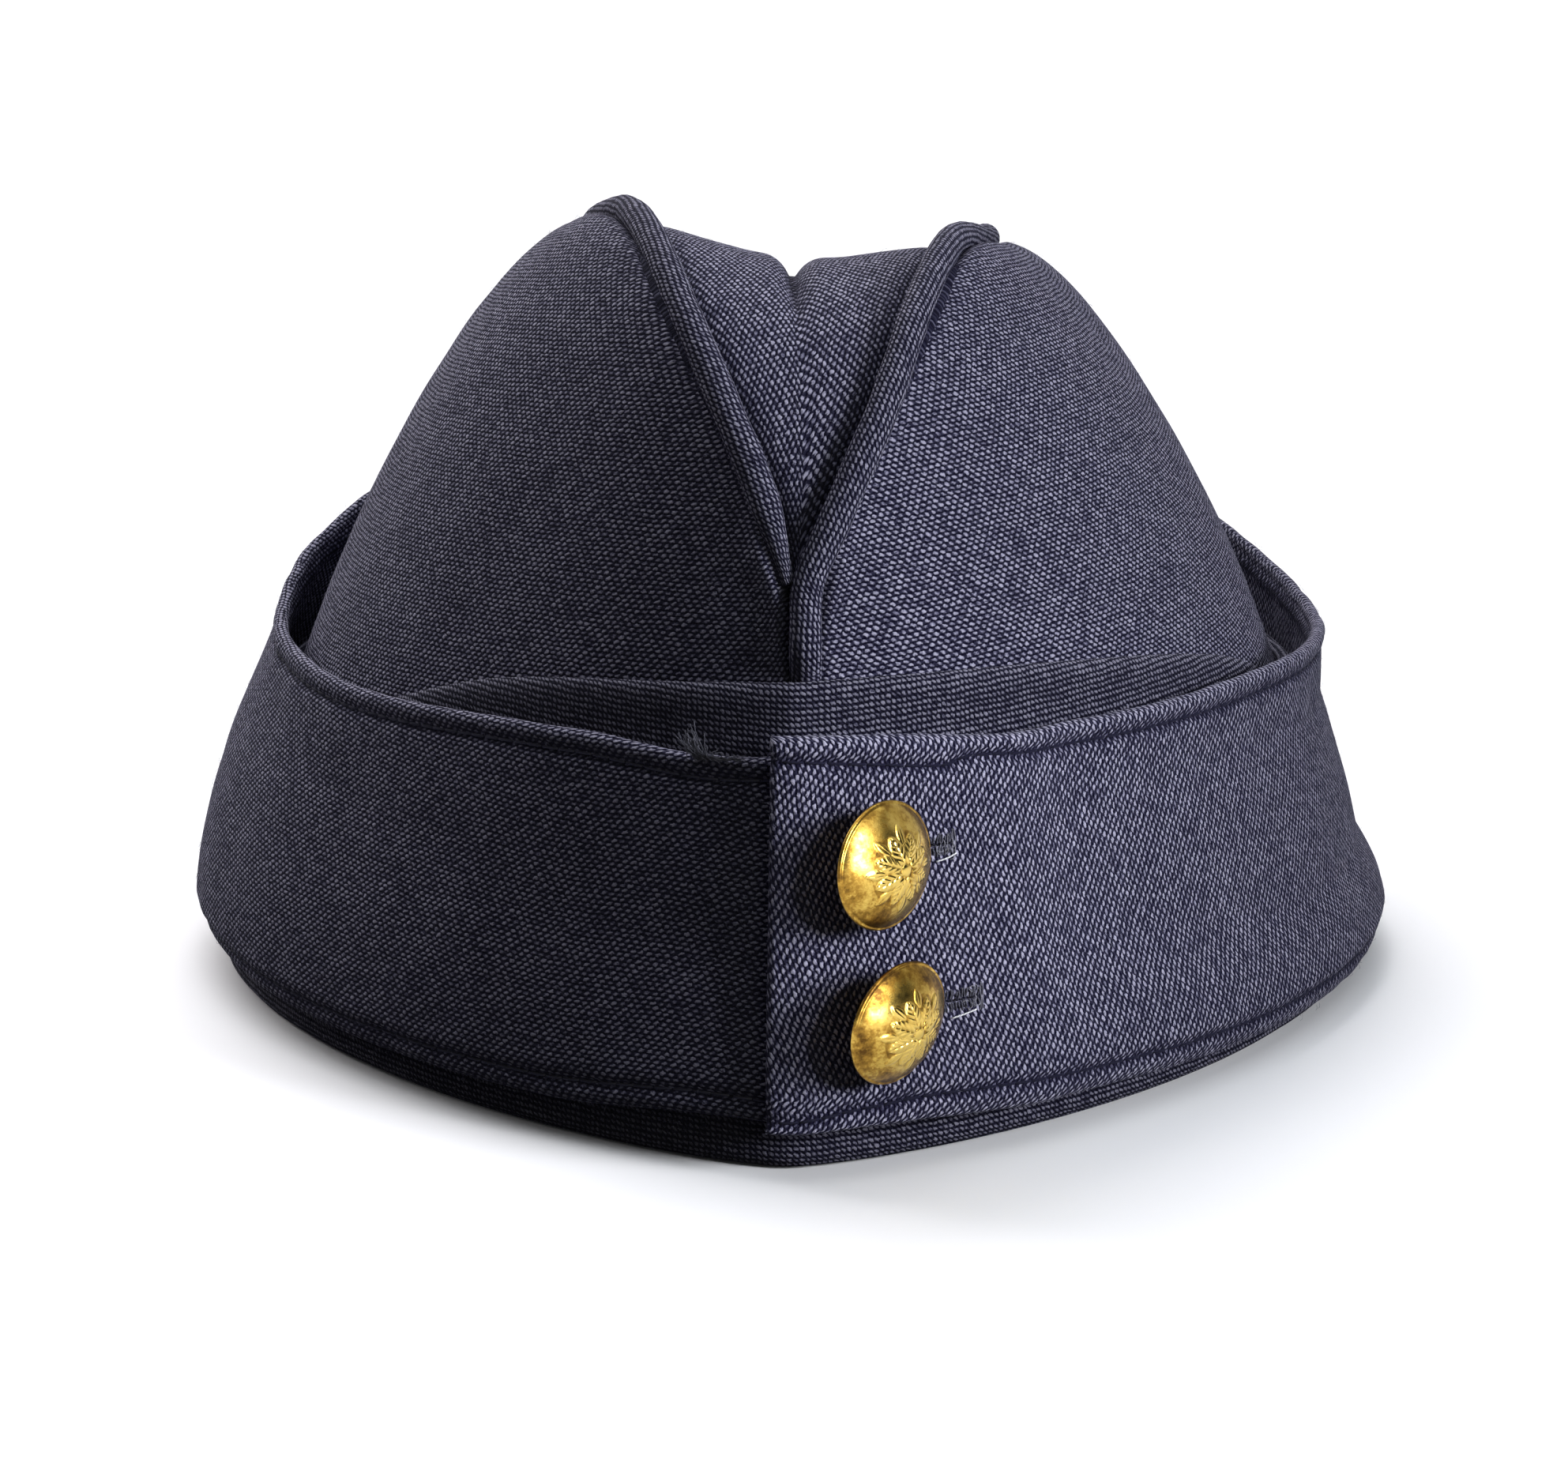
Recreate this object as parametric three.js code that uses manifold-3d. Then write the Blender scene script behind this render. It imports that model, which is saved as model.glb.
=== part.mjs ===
// Wool side cap: a folded crown with corded seams, a turned-up band, and two flaps that button at the front.
// Millimetres, +Z up. The front faces -Y, +X is the viewer's right, and the rim rests on Z = 0.
import * as THREE from "three";
import { mergeVertices } from "three/addons/utils/BufferGeometryUtils.js";
import Module from "manifold-3d";

const wasm = await Module();
wasm.setup();

// Driving dimensions
const CLOTH = 2; // wall of one layer of lined wool cloth
const GAP = 0.5; // clearance between neighbouring layers
const LAYER = CLOTH + GAP;
const CROWN_HALF_WIDTH = 81.5; // crown's outer face at the rim
const CROWN_HALF_LENGTH = 103.5;
const CROWN_FOOT = CLOTH + 2 * GAP; // height of the crown's lower edge, over the band's hem
const PROW_POWER = 1.34; // of the rim's outline: 2 makes an ellipse, and less brings its ends to a point
const SIDE_POWER = 1.88;
const CORD_RADIUS = 2.1; // of the welt in each crown seam
const BUTTON_DIAMETER = 17;
const CENTRE_SHIFT = 4.5; // puts the middle of the whole cap, buttons included, over the origin

// Crown seams from the front fork to the back one. The left seam stands a little higher than the right.
const SEAM_ROWS = [
  { y: -98, leftX: 0.2, leftZ: 74, rightX: 1.8, rightZ: 74 },
  { y: -94, leftX: -3.2, leftZ: 85, rightX: 6.5, rightZ: 84.5 },
  { y: -87, leftX: -8.6, leftZ: 97, rightX: 11.6, rightZ: 95 },
  { y: -76, leftX: -13.9, leftZ: 107, rightX: 15.5, rightZ: 104 },
  { y: -62, leftX: -17.6, leftZ: 112.5, rightX: 18.8, rightZ: 109 },
  { y: -46, leftX: -21, leftZ: 114, rightX: 21.7, rightZ: 110.3 },
  { y: -18, leftX: -26, leftZ: 109, rightX: 26.3, rightZ: 106 },
  { y: 15, leftX: -28, leftZ: 102, rightX: 28, rightZ: 101 },
  { y: 48, leftX: -25, leftZ: 94, rightX: 25, rightZ: 94 },
  { y: 74, leftX: -17, leftZ: 83.5, rightX: 17, rightZ: 83.5 },
  { y: 90, leftX: -7, leftZ: 72, rightX: 7, rightZ: 72 },
  { y: 98, leftX: 0.2, leftZ: 60, rightX: 1.8, rightZ: 60 },
];

// Crown wall between the rim and the seam: where its curve is drawn to, as shares of the way up and out
const UPRIGHT = { rise: 0.4, out: 0.92 };
const SHOULDER = { rise: 1.07, out: 0.28 };

// Crease along the middle of the crown's top, by share of the way from front to back
const CREASE_ROWS = [
  { along: 0, depth: 0 },
  { along: 0.14, depth: 0.8 },
  { along: 0.3, depth: 5.6 },
  { along: 0.5, depth: 10 },
  { along: 0.75, depth: 8 },
  { along: 1, depth: 0 },
];

// Height of the turned-up band's top edge, by angle from the front
const BAND_ROWS = [
  { angle: 0, left: 63.6, right: 63.6 },
  { angle: 20, left: 61.9, right: 62.9 },
  { angle: 40, left: 57.5, right: 59.8 },
  { angle: 60, left: 47, right: 53.7 },
  { angle: 80, left: 42, right: 43 },
  { angle: 180, left: 42, right: 42 },
];

// Flaps by angle from the front: heights of the lower and top edges, and how far the outer face stands out
// from the crown's rim at the foot, at the bulge above it, at the waist and at the lip
const FLAP_ROWS = {
  left: [
    { angle: 0, low: 6.8, top: 55, foot: 4.8, bulge: 5.2, waist: 3.6, lip: 1.3 },
    { angle: 15, low: 7, top: 54, foot: 4.8, bulge: 5.3, waist: 3.5, lip: 0.6 },
    { angle: 30, low: 5.2, top: 54.4, foot: 4.9, bulge: 5.6, waist: 3.1, lip: -1 },
    { angle: 60, low: 4.7, top: 50.7, foot: 5.6, bulge: 6.4, waist: 2.4, lip: -4.5 },
    { angle: 90, low: 5, top: 50.6, foot: 6, bulge: 6.35, waist: 2.2, lip: -6.7 },
    { angle: 105, low: 5, top: 54.5, foot: 5.4, bulge: 6.3, waist: 2.4, lip: -5 },
    { angle: 120, low: 5, top: 59, foot: 5, bulge: 6, waist: 2.5, lip: -3 },
    { angle: 150, low: 5, top: 59, foot: 4.8, bulge: 5.5, waist: 4, lip: 1 },
    { angle: 180, low: 5, top: 55, foot: 4.8, bulge: 5.4, waist: 5.4, lip: 4 },
  ],
  right: [
    { angle: 0, low: 6, top: 58.2, foot: 7.2, bulge: 7.6, waist: 6.2, lip: 3.9 },
    { angle: 15, low: 6.3, top: 57.2, foot: 7.2, bulge: 7.8, waist: 6, lip: 3.4 },
    { angle: 30, low: 5, top: 54.3, foot: 6.4, bulge: 7.5, waist: 3.8, lip: 1 },
    { angle: 60, low: 3, top: 51.6, foot: 5.2, bulge: 6.6, waist: -0.5, lip: -2.5 },
    { angle: 90, low: 3.1, top: 49, foot: 4.8, bulge: 6.65, waist: -2.4, lip: -3.7 },
    { angle: 105, low: 3.6, top: 50.4, foot: 4.8, bulge: 6.2, waist: -1.5, lip: -2.6 },
    { angle: 120, low: 4, top: 55, foot: 4.8, bulge: 6, waist: -0.5, lip: -1.5 },
    { angle: 150, low: 5, top: 58, foot: 4.8, bulge: 5.5, waist: 3.5, lip: 1 },
    { angle: 180, low: 5, top: 55, foot: 4.8, bulge: 5.4, waist: 5.4, lip: 4 },
  ],
};
const BULGE_SHARE = 0.12; // of the flap's height
const WAIST_SHARE = 0.5;
const CORNER_RADIUS = 2; // of the flaps' front corners
const RIGHT_FRONT_EDGE = -1.5; // x where the right flap ends, just past the middle
const LEFT_FRONT_EDGE = 25; // x where the left flap ends, under the right one

// Buttons on the right flap: distance from the middle, height, and turn and pitch of the face in degrees
const BUTTON_ROWS = [
  { name: "button_upper", x: 7.8, z: 42, turn: 45, pitch: 2 },
  { name: "button_lower", x: 8.8, z: 21.7, turn: 45, pitch: -8 },
];
const BUTTON_HEIGHT = 4.4;
const BUTTON_LIFT = 4.1; // of the tilted button's back over the cloth, at its middle
const BUTTONHOLE_LENGTH = 17;

const CLOTH_LOOK = { color: 0x45475a, roughness: 0.95, metalness: 0 };
const CORD_LOOK = { color: 0x3f4152, roughness: 0.95, metalness: 0 };
const BRASS_LOOK = { color: 0xd2a236, roughness: 0.3, metalness: 1 };

const { lerp, clamp, smoothstep, degToRad, radToDeg } = THREE.MathUtils;
const SIDES = { left: -1, right: 1 };
const UP = new THREE.Vector3(0, 0, 1);

// Shares from 0 to 1 in even steps
const steps = (count) => Array.from({ length: count + 1 }, (_, i) => i / count);

// Smooth value of one column of a table at a place between its rows
function columnAt(rows, place, column, value) {
  const last = rows.length - 1;
  let i = 0;
  while (i < last - 1 && rows[i + 1][place] <= value) i++;
  const row = (k) => rows[clamp(k, 0, last)][column];
  const t = (value - rows[i][place]) / (rows[i + 1][place] - rows[i][place]);
  const leaving = (row(i + 1) - row(i - 1)) / 2;
  const arriving = (row(i + 2) - row(i)) / 2;
  const weight = t * t * (3 - 2 * t);
  return lerp(row(i), row(i + 1), weight) + leaving * t * (1 - t) ** 2 - arriving * t * t * (1 - t);
}

// Rim's outline in plan, and its outward direction. The angle is 0 at the front and positive towards +X.
function outline(angle, out) {
  const s = Math.sin(angle);
  const c = Math.cos(angle);
  const signed = (value, power) => Math.sign(value) * Math.abs(value) ** power;
  const outward = new THREE.Vector2(
    (PROW_POWER * signed(s, 2 - 2 / PROW_POWER)) / CROWN_HALF_WIDTH,
    (-SIDE_POWER * signed(c, 2 - 2 / SIDE_POWER)) / CROWN_HALF_LENGTH).normalize();
  const point = new THREE.Vector2(
    CROWN_HALF_WIDTH * signed(s, 2 / PROW_POWER), -CROWN_HALF_LENGTH * signed(c, 2 / SIDE_POWER));
  return { outward, point: point.addScaledVector(outward, out) };
}

// Point at a height, out from the rim's outline
function overRim(angle, out, height) {
  const { point } = outline(angle, out);
  return new THREE.Vector3(point.x, point.y, height);
}

// Angle at which the front half of the rim's outline has a given x
const angleAt = (x) => Math.sign(x) * Math.asin((Math.abs(x) / CROWN_HALF_WIDTH) ** (PROW_POWER / 2));

const seams = {};
for (const name of Object.keys(SIDES))
  seams[name] = new THREE.CatmullRomCurve3(
    SEAM_ROWS.map((row) => new THREE.Vector3(row[`${name}X`], row.y, row[`${name}Z`])), false, "centripetal");

// Crown wall's curve from the rim up to the seam, at a share of the way from front to back
function crownCurve(name, along) {
  const foot = overRim(SIDES[name] * along * Math.PI, 0, CROWN_FOOT);
  const seam = seams[name].getPointAt(along);
  const drawnTo = ({ rise, out }) => new THREE.Vector3(
    lerp(seam.x, foot.x, out), lerp(seam.y, foot.y, out), lerp(foot.z, seam.z, rise));
  return new THREE.CubicBezierCurve3(foot, drawnTo(UPRIGHT), drawnTo(SHOULDER), seam);
}

// How far out the crown's face is from the rim's outline at a height. Inside the outline it is negative.
const HALVINGS = 24;
function crownOut(angle, height) {
  const curve = crownCurve(angle < 0 ? "left" : "right", Math.abs(angle) / Math.PI);
  let low = 0;
  let high = 1;
  for (let i = 0; i < HALVINGS; i++) {
    const middle = (low + high) / 2;
    if (curve.getPoint(middle).z < height) low = middle;
    else high = middle;
  }
  const face = curve.getPoint(low);
  const { outward, point } = outline(angle, 0);
  return outward.dot(new THREE.Vector2(face.x, face.y).sub(point));
}

// Turns every face round if a solid is inside out
function facingOut(geometry) {
  const place = geometry.getAttribute("position");
  const index = Array.from(geometry.index.array);
  const corner = (i) => new THREE.Vector3().fromBufferAttribute(place, index[i]);
  let volume = 0;
  for (let i = 0; i < index.length; i += 3) volume += corner(i).dot(corner(i + 1).cross(corner(i + 2)));
  if (volume < 0) geometry.setIndex(index.reverse());
  return geometry;
}

// Closed solid through loops of points, each up one face of a wall and down the other.
// A joined loft closes on itself, and an open one gets a flat cap at each end.
function loft(loops, joined = false) {
  const size = loops[0].length;
  const index = [];
  const quad = (a, b, c, d) => index.push(a, b, c, a, c, d);
  const spans = joined ? loops.length : loops.length - 1;
  for (let i = 0; i < spans; i++) {
    const next = (i + 1) % loops.length;
    for (let j = 0; j < size; j++) {
      const k = (j + 1) % size;
      quad(i * size + j, next * size + j, next * size + k, i * size + k);
    }
  }
  const last = (loops.length - 1) * size;
  for (let j = 0; !joined && j < size / 2 - 1; j++) {
    const [a, b, c, d] = [j, j + 1, size - 2 - j, size - 1 - j];
    quad(a, b, c, d);
    quad(last + d, last + c, last + b, last + a);
  }
  const geometry = new THREE.BufferGeometry().setFromPoints(loops.flat());
  geometry.setIndex(index);
  return facingOut(geometry);
}

// Closed solid of a cloth wall, from a function that gives its outer face over two shares from 0 to 1
const NUDGE = 1e-3;
function wall(face, across, up, inwards) {
  const loops = across.map((a) => {
    const outer = up.map((b) => face(a, b));
    const inner = up.map((b, j) => {
      const alongA = face(Math.min(a + NUDGE, 1), b).sub(face(Math.max(a - NUDGE, 0), b));
      const alongB = face(a, Math.min(b + NUDGE, 1)).sub(face(a, Math.max(b - NUDGE, 0)));
      return outer[j].clone().addScaledVector(alongA.cross(alongB).normalize(), inwards * CLOTH);
    });
    return [...outer, ...inner.reverse()];
  });
  return loft(loops);
}

// Solid for a boolean cut, and the geometry of its result
const MERGE = 1e-4;
function solidOf(geometry) {
  const bare = geometry.clone();
  for (const name of ["normal", "uv"]) bare.deleteAttribute(name);
  const merged = mergeVertices(bare, MERGE);
  return new wasm.Manifold(new wasm.Mesh({
    numProp: 3,
    vertProperties: merged.getAttribute("position").array,
    triVerts: new Uint32Array(merged.index.array),
  }));
}

function geometryOf(solid) {
  const mesh = solid.getMesh();
  const geometry = new THREE.BufferGeometry();
  geometry.setAttribute("position", new THREE.BufferAttribute(new Float32Array(mesh.vertProperties), 3));
  geometry.setIndex(new THREE.BufferAttribute(new Uint32Array(mesh.triVerts), 1));
  return geometry;
}

const cap = new THREE.Group();
cap.position.y = CENTRE_SHIFT;

function addPiece(name, geometry, look) {
  geometry.computeVertexNormals();
  const mesh = new THREE.Mesh(geometry, new THREE.MeshStandardMaterial(look));
  mesh.name = name;
  cap.add(mesh);
  return mesh;
}

// Corded welts along the crown seams. The right one runs on down the front and back to the band. The left one
// thins at each fork, where it goes in beside the right one.
const CORD_RAISE = 0.9; // of the cord's middle over the seam, away from the middle of the crown
const CROWN_MIDDLE = new THREE.Vector3(0, 0, 50);
const CORD_SIDES = 8;
const CORD_STEPS = 36;
const CORD_POINTS = 30;
const CORD_TAPER = 0.06; // share of the left cord's length over which it thins
const CORD_TIP = 0.45; // share of its radius that is left at the tip
const TIPS_APART = 2 * CORD_RADIUS + GAP;
const FORK_X = 1.8; // the welts below the forks lie just right of the middle
const FORK_BELOW = 3;

// Shares of the seams between which they are at least a given distance apart
const SEAM_TESTS = 400;
function apartShares(distance) {
  const shares = steps(SEAM_TESTS).filter((share) =>
    seams.left.getPointAt(share).distanceTo(seams.right.getPointAt(share)) > distance);
  return [shares[0], shares[shares.length - 1]];
}

// Points of the welt below a fork, from the band up
function weltBelow(angle, fork) {
  const foot = columnAt(BAND_ROWS, "angle", "right", radToDeg(angle)) + GAP;
  return [foot, fork.z - FORK_BELOW].map((height) =>
    overRim(angle, crownOut(angle, height) + CORD_RAISE, height).setX(FORK_X));
}

function cordPath(name) {
  const [from, to] = apartShares(TIPS_APART);
  const points = steps(CORD_POINTS).map((share) => {
    const point = seams[name].getPointAt(lerp(from, to, share));
    return point.addScaledVector(point.clone().sub(CROWN_MIDDLE).normalize(), CORD_RAISE);
  });
  if (name === "right") {
    points.unshift(...weltBelow(0, seams[name].getPointAt(0)));
    points.push(...weltBelow(Math.PI, seams[name].getPointAt(1)).reverse());
  }
  return new THREE.CatmullRomCurve3(points, false, "centripetal");
}

// Round cord, with a margin added all round and at its ends
function cordGeometry(name, margin) {
  const path = cordPath(name);
  const frames = path.computeFrenetFrames(CORD_STEPS);
  const loops = steps(CORD_STEPS).map((share, i) => {
    const fromEnd = Math.min(share, 1 - share) / CORD_TAPER;
    const fullness = name === "right" ? 1 : lerp(CORD_TIP, 1, Math.min(1, fromEnd));
    const radius = CORD_RADIUS * fullness + margin;
    const end = Math.sign(share - 0.5) * Number(i === 0 || i === CORD_STEPS);
    const middle = path.getPointAt(share).addScaledVector(frames.tangents[i], end * margin);
    return steps(CORD_SIDES).slice(1).map((turn) => middle.clone()
      .addScaledVector(frames.normals[i], radius * Math.cos(turn * 2 * Math.PI))
      .addScaledVector(frames.binormals[i], radius * Math.sin(turn * 2 * Math.PI)));
  });
  return loft(loops);
}

for (const name of Object.keys(SIDES)) addPiece(`welt_${name}`, cordGeometry(name, 0), CORD_LOOK);

// Room for both cords, cut out of the crown pieces that they lie between
const cordRoom = solidOf(cordGeometry("left", GAP)).add(solidOf(cordGeometry("right", GAP)));

// Crown sides, which meet in the middle at the front and back
const CROWN_COLUMNS = 30;
const CROWN_ROWS = 8;
const SEAM_MARGIN = 0.985; // share of the wall's curve that a side covers, just short of the seam
const MIDDLE_CLEAR = 0.7; // half the distance between the two sides
const MIDDLE_MARGIN = angleAt(MIDDLE_CLEAR) / Math.PI;
const crownShares = steps(CROWN_COLUMNS).map((a) => clamp(a, MIDDLE_MARGIN, 1 - MIDDLE_MARGIN));

for (const [name, sign] of Object.entries(SIDES)) {
  const face = (a, b) => crownCurve(name, a).getPoint(b * SEAM_MARGIN);
  const side = wall(face, crownShares, steps(CROWN_ROWS), -sign);
  addPiece(`crown_${name}`, geometryOf(solidOf(side).subtract(cordRoom)), CLOTH_LOOK);
}

// Crown gusset between the two seams, creased along its middle
const GUSSET_COLUMNS = 26;
const GUSSET_ROWS = 6;
const GUSSET_EDGE = 1.4; // kept clear of the seam on each side
const GUSSET_END = 6.6; // distance between the seams where the gusset ends
const [GUSSET_FROM, GUSSET_TO] = apartShares(GUSSET_END);

function gussetFace(a, b) {
  const along = lerp(GUSSET_FROM, GUSSET_TO, a);
  const left = seams.left.getPointAt(along);
  const right = seams.right.getPointAt(along);
  const inset = GUSSET_EDGE / left.distanceTo(right);
  const point = left.lerp(right, lerp(inset, 1 - inset, b));
  const fromEdge = 1 - Math.abs(2 * b - 1);
  return point.setZ(point.z - columnAt(CREASE_ROWS, "along", "depth", along) * fromEdge);
}
const gusset = wall(gussetFace, steps(GUSSET_COLUMNS), steps(GUSSET_ROWS), 1);
addPiece("crown_gusset", geometryOf(solidOf(gusset).subtract(cordRoom)), CLOTH_LOOK);

// Band turned up round the crown, with a hem that folds in under the crown's edge
const BAND_RISES = [0.1, 0.32, 0.54, 0.77, 1];
const HEM_ROUND = 1;

function bandLoop(angle) {
  const top = columnAt(BAND_ROWS, "angle", angle < 0 ? "left" : "right", radToDeg(Math.abs(angle)));
  const rise = (out) => BAND_RISES.map((share) => {
    const height = lerp(CLOTH, top, share);
    return overRim(angle, crownOut(angle, height) + out, height);
  });
  return [
    overRim(angle, -CLOTH, 0),
    overRim(angle, LAYER - HEM_ROUND, 0),
    overRim(angle, LAYER, HEM_ROUND),
    ...rise(LAYER),
    ...rise(GAP).reverse(),
    overRim(angle, GAP, CLOTH),
    overRim(angle, -CLOTH, CLOTH),
  ];
}
const rightAngles = crownShares.map((share) => share * Math.PI);
const leftAngles = rightAngles.map((angle) => -angle).reverse();
addPiece("turn_up_band", loft([...rightAngles, ...leftAngles].map(bandLoop), true), CLOTH_LOOK);

// Flaps, folded up over the band. The right flap's front end lies over the left one's.
const FLAP_RISES = [0, 0.06, 0.14, 0.28, 0.44, 0.6, 0.76, 0.9, 1];
const FLAP_COLUMNS = 30;
const CORNER_SHARES = [0, 0.2, 0.5, 1];
const CORNER_REACH = 0.01; // of the flap's length, taken up by its rounded corner
const LAP_FADE = 12; // width over which the right flap settles past the left one's end
const BACK_CLEAR = 0.5; // half the distance between the flaps' back ends
const BACK_MARGIN = angleAt(BACK_CLEAR);
const flapFronts = { left: angleAt(LEFT_FRONT_EDGE), right: angleAt(RIGHT_FRONT_EDGE) };

function flapColumn(name, angle, column) {
  return columnAt(FLAP_ROWS[name], "angle", column, radToDeg(Math.abs(angle)));
}

// How far out a flap lies at a height: where its own shape puts it, or further, clear of the band
function flapOut(name, angle, height) {
  const low = flapColumn(name, angle, "low");
  const top = flapColumn(name, angle, "top");
  const profile = [
    { share: 0, out: flapColumn(name, angle, "foot") },
    { share: BULGE_SHARE, out: flapColumn(name, angle, "bulge") },
    { share: WAIST_SHARE, out: flapColumn(name, angle, "waist") },
    { share: 1, out: flapColumn(name, angle, "lip") },
  ];
  const own = columnAt(profile, "share", "out", clamp((height - low) / (top - low), 0, 1));
  return Math.max(own, crownOut(angle, height) + 2 * LAYER);
}

// How much a rounded corner takes off the height, at a distance from the front edge
function cornerDrop(distance) {
  const inside = Math.max(0, CORNER_RADIUS - distance);
  return CORNER_RADIUS - Math.sqrt(CORNER_RADIUS ** 2 - inside ** 2);
}

function flapFace(name, angle, share) {
  const frontPoint = outline(flapFronts[name], 0).point;
  const drop = cornerDrop(outline(angle, 0).point.distanceTo(frontPoint));
  const height = lerp(flapColumn(name, angle, "low") + drop, flapColumn(name, angle, "top") - drop, share);
  const out = flapOut(name, angle, height);
  if (name === "left") return overRim(angle, out, height);
  const over = Math.max(out, flapOut("left", Math.abs(angle), height) + LAYER);
  const past = smoothstep(angle, angleAt(LEFT_FRONT_EDGE + 1), angleAt(LEFT_FRONT_EDGE + LAP_FADE));
  return overRim(angle, lerp(over, out, past), height);
}

function flapGeometry(name) {
  const sign = SIDES[name];
  const back = sign * (Math.PI - BACK_MARGIN);
  const corner = CORNER_SHARES.map((share) => share * CORNER_REACH);
  const rest = steps(FLAP_COLUMNS).slice(1).map((share) => lerp(CORNER_REACH, 1, share));
  const face = (a, b) => flapFace(name, lerp(flapFronts[name], back, a), b);
  return wall(face, [...corner, ...rest], FLAP_RISES, -sign);
}

// Buttons: a shallow dome with a rolled rim, on a shank that goes through a buttonhole in the right flap
const BUTTON_SIDES = 18;
const BUTTON_RIM = 1.1;
const RIM_ROUND = 0.7;
const DOME_INSET = 0.6;
const DOME_START = 0.1;
const DOME_STEPS = 5;
const SHANK_RADIUS = 1.1;
const SHANK_CLEAR = 0.3; // of the shank's end, above the flap's inner face
const SHANK_MARGIN = 1.8; // from the shank to the near end of its buttonhole
const BUTTONHOLE_WIDTH = 3.6;
const BUTTONHOLE_DEPTH = 10;

// Point on the right flap's face under a button, and the way the cloth faces there
function clothSeat(row) {
  const angle = angleAt(row.x);
  const low = flapColumn("right", angle, "low");
  const top = flapColumn("right", angle, "top");
  const { outward } = outline(angle, 0);
  return {
    point: flapFace("right", angle, (row.z - low) / (top - low)),
    outward: new THREE.Vector3(outward.x, outward.y, 0),
  };
}

function buttonAxis(row) {
  const turn = degToRad(row.turn);
  const pitch = degToRad(row.pitch);
  return new THREE.Vector3(
    Math.sin(turn) * Math.cos(pitch), -Math.cos(turn) * Math.cos(pitch), Math.sin(pitch));
}

function buttonGeometry(shankLength) {
  const radius = BUTTON_DIAMETER / 2;
  const dome = new THREE.EllipseCurve(
    0, BUTTON_RIM, radius - DOME_INSET, BUTTON_HEIGHT - BUTTON_RIM, DOME_START, Math.PI / 2);
  const profile = [
    new THREE.Vector2(0, -shankLength),
    new THREE.Vector2(SHANK_RADIUS, -shankLength),
    new THREE.Vector2(SHANK_RADIUS, 0),
    new THREE.Vector2(radius - RIM_ROUND, 0),
    new THREE.Vector2(radius, BUTTON_RIM / 2),
    new THREE.Vector2(radius - RIM_ROUND / 2, BUTTON_RIM),
    ...dome.getPoints(DOME_STEPS),
  ];
  profile[profile.length - 1].x = 0;
  return new THREE.LatheGeometry(profile, BUTTON_SIDES);
}

let rightFlap = solidOf(flapGeometry("right"));
for (const row of BUTTON_ROWS) {
  const { point, outward } = clothSeat(row);
  const axis = buttonAxis(row);
  const back = point.clone().addScaledVector(outward, BUTTON_LIFT);
  const shankLength = (BUTTON_LIFT + CLOTH - SHANK_CLEAR) / axis.dot(outward);
  const button = addPiece(row.name, buttonGeometry(shankLength), BRASS_LOOK);
  button.position.copy(back);
  button.quaternion.setFromUnitVectors(new THREE.Vector3(0, 1, 0), axis);

  const along = UP.clone().cross(outward);
  const shankEnd = back.clone().addScaledVector(axis, -shankLength);
  const middle = shankEnd.addScaledVector(along, BUTTONHOLE_LENGTH / 2 - SHANK_MARGIN);
  const hole = new THREE.BoxGeometry(BUTTONHOLE_LENGTH, BUTTONHOLE_WIDTH, BUTTONHOLE_DEPTH);
  hole.applyMatrix4(new THREE.Matrix4().makeBasis(along, UP, outward).setPosition(middle));
  rightFlap = rightFlap.subtract(solidOf(hole));
}
addPiece("flap_left", flapGeometry("left"), CLOTH_LOOK);
addPiece("flap_right", geometryOf(rightFlap), CLOTH_LOOK);

export default cap;
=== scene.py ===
# %% [markdown]
# # A wool side cap
# This lesson dresses a folded wool cap: two crown sides that meet a creased gusset in corded seams, a
# band turned up round them, and two flaps that lap and button at the front. The solid model comes in
# first and stays where it is. It could be given a finish as it stands, but its walls are too plain for
# cloth, so each cloth piece is made again as a fine sheet over its solid and nothing has to be fitted.

# %% Load the solid model
import math

import bpy
import numpy as np
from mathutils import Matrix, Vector, noise


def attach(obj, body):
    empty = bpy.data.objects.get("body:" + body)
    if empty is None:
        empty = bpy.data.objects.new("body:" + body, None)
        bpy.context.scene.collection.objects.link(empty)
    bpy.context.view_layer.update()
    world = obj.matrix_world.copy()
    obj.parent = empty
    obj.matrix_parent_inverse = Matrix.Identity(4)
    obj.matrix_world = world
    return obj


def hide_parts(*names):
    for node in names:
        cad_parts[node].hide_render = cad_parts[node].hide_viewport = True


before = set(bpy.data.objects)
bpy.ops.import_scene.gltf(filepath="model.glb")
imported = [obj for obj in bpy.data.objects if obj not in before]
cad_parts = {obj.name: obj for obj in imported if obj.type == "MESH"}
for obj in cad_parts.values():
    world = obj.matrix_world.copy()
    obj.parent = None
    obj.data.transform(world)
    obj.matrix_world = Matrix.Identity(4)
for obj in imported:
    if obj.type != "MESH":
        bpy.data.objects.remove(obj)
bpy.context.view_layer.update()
print("solid nodes:", sorted(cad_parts))

# %% [markdown]
# ## Camera and studio
# The camera stands a little above the cap and close to it, as for a product picture, so the lens is a
# long one. It could be set by eye, but its place and pitch are written as real sizes: metres from the
# cap and degrees below the horizon. Wide soft suns stand for the ceiling and the pale walls, and whiten
# the floor. A spot from the right stands for a window and rakes over the weave, with a weaker one beside
# it that opens the shade round the buttons. Polished brass shows what stands round it, so it gets a
# bright softbox and two dim panels that only mirrors can see. The floor throws no light back, so shadows
# stay deep.

# %% Camera
FRAME_WIDTH_PX = 1985
FOCAL_PX = 6030
SENSOR_MM = 36
CAP_FORWARD = 0.0045
CAMERA_BACK, CAMERA_HIGH = 0.6831, 0.2077
CAMERA_PITCH, CAMERA_YAW = 14.64, 0.07

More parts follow.
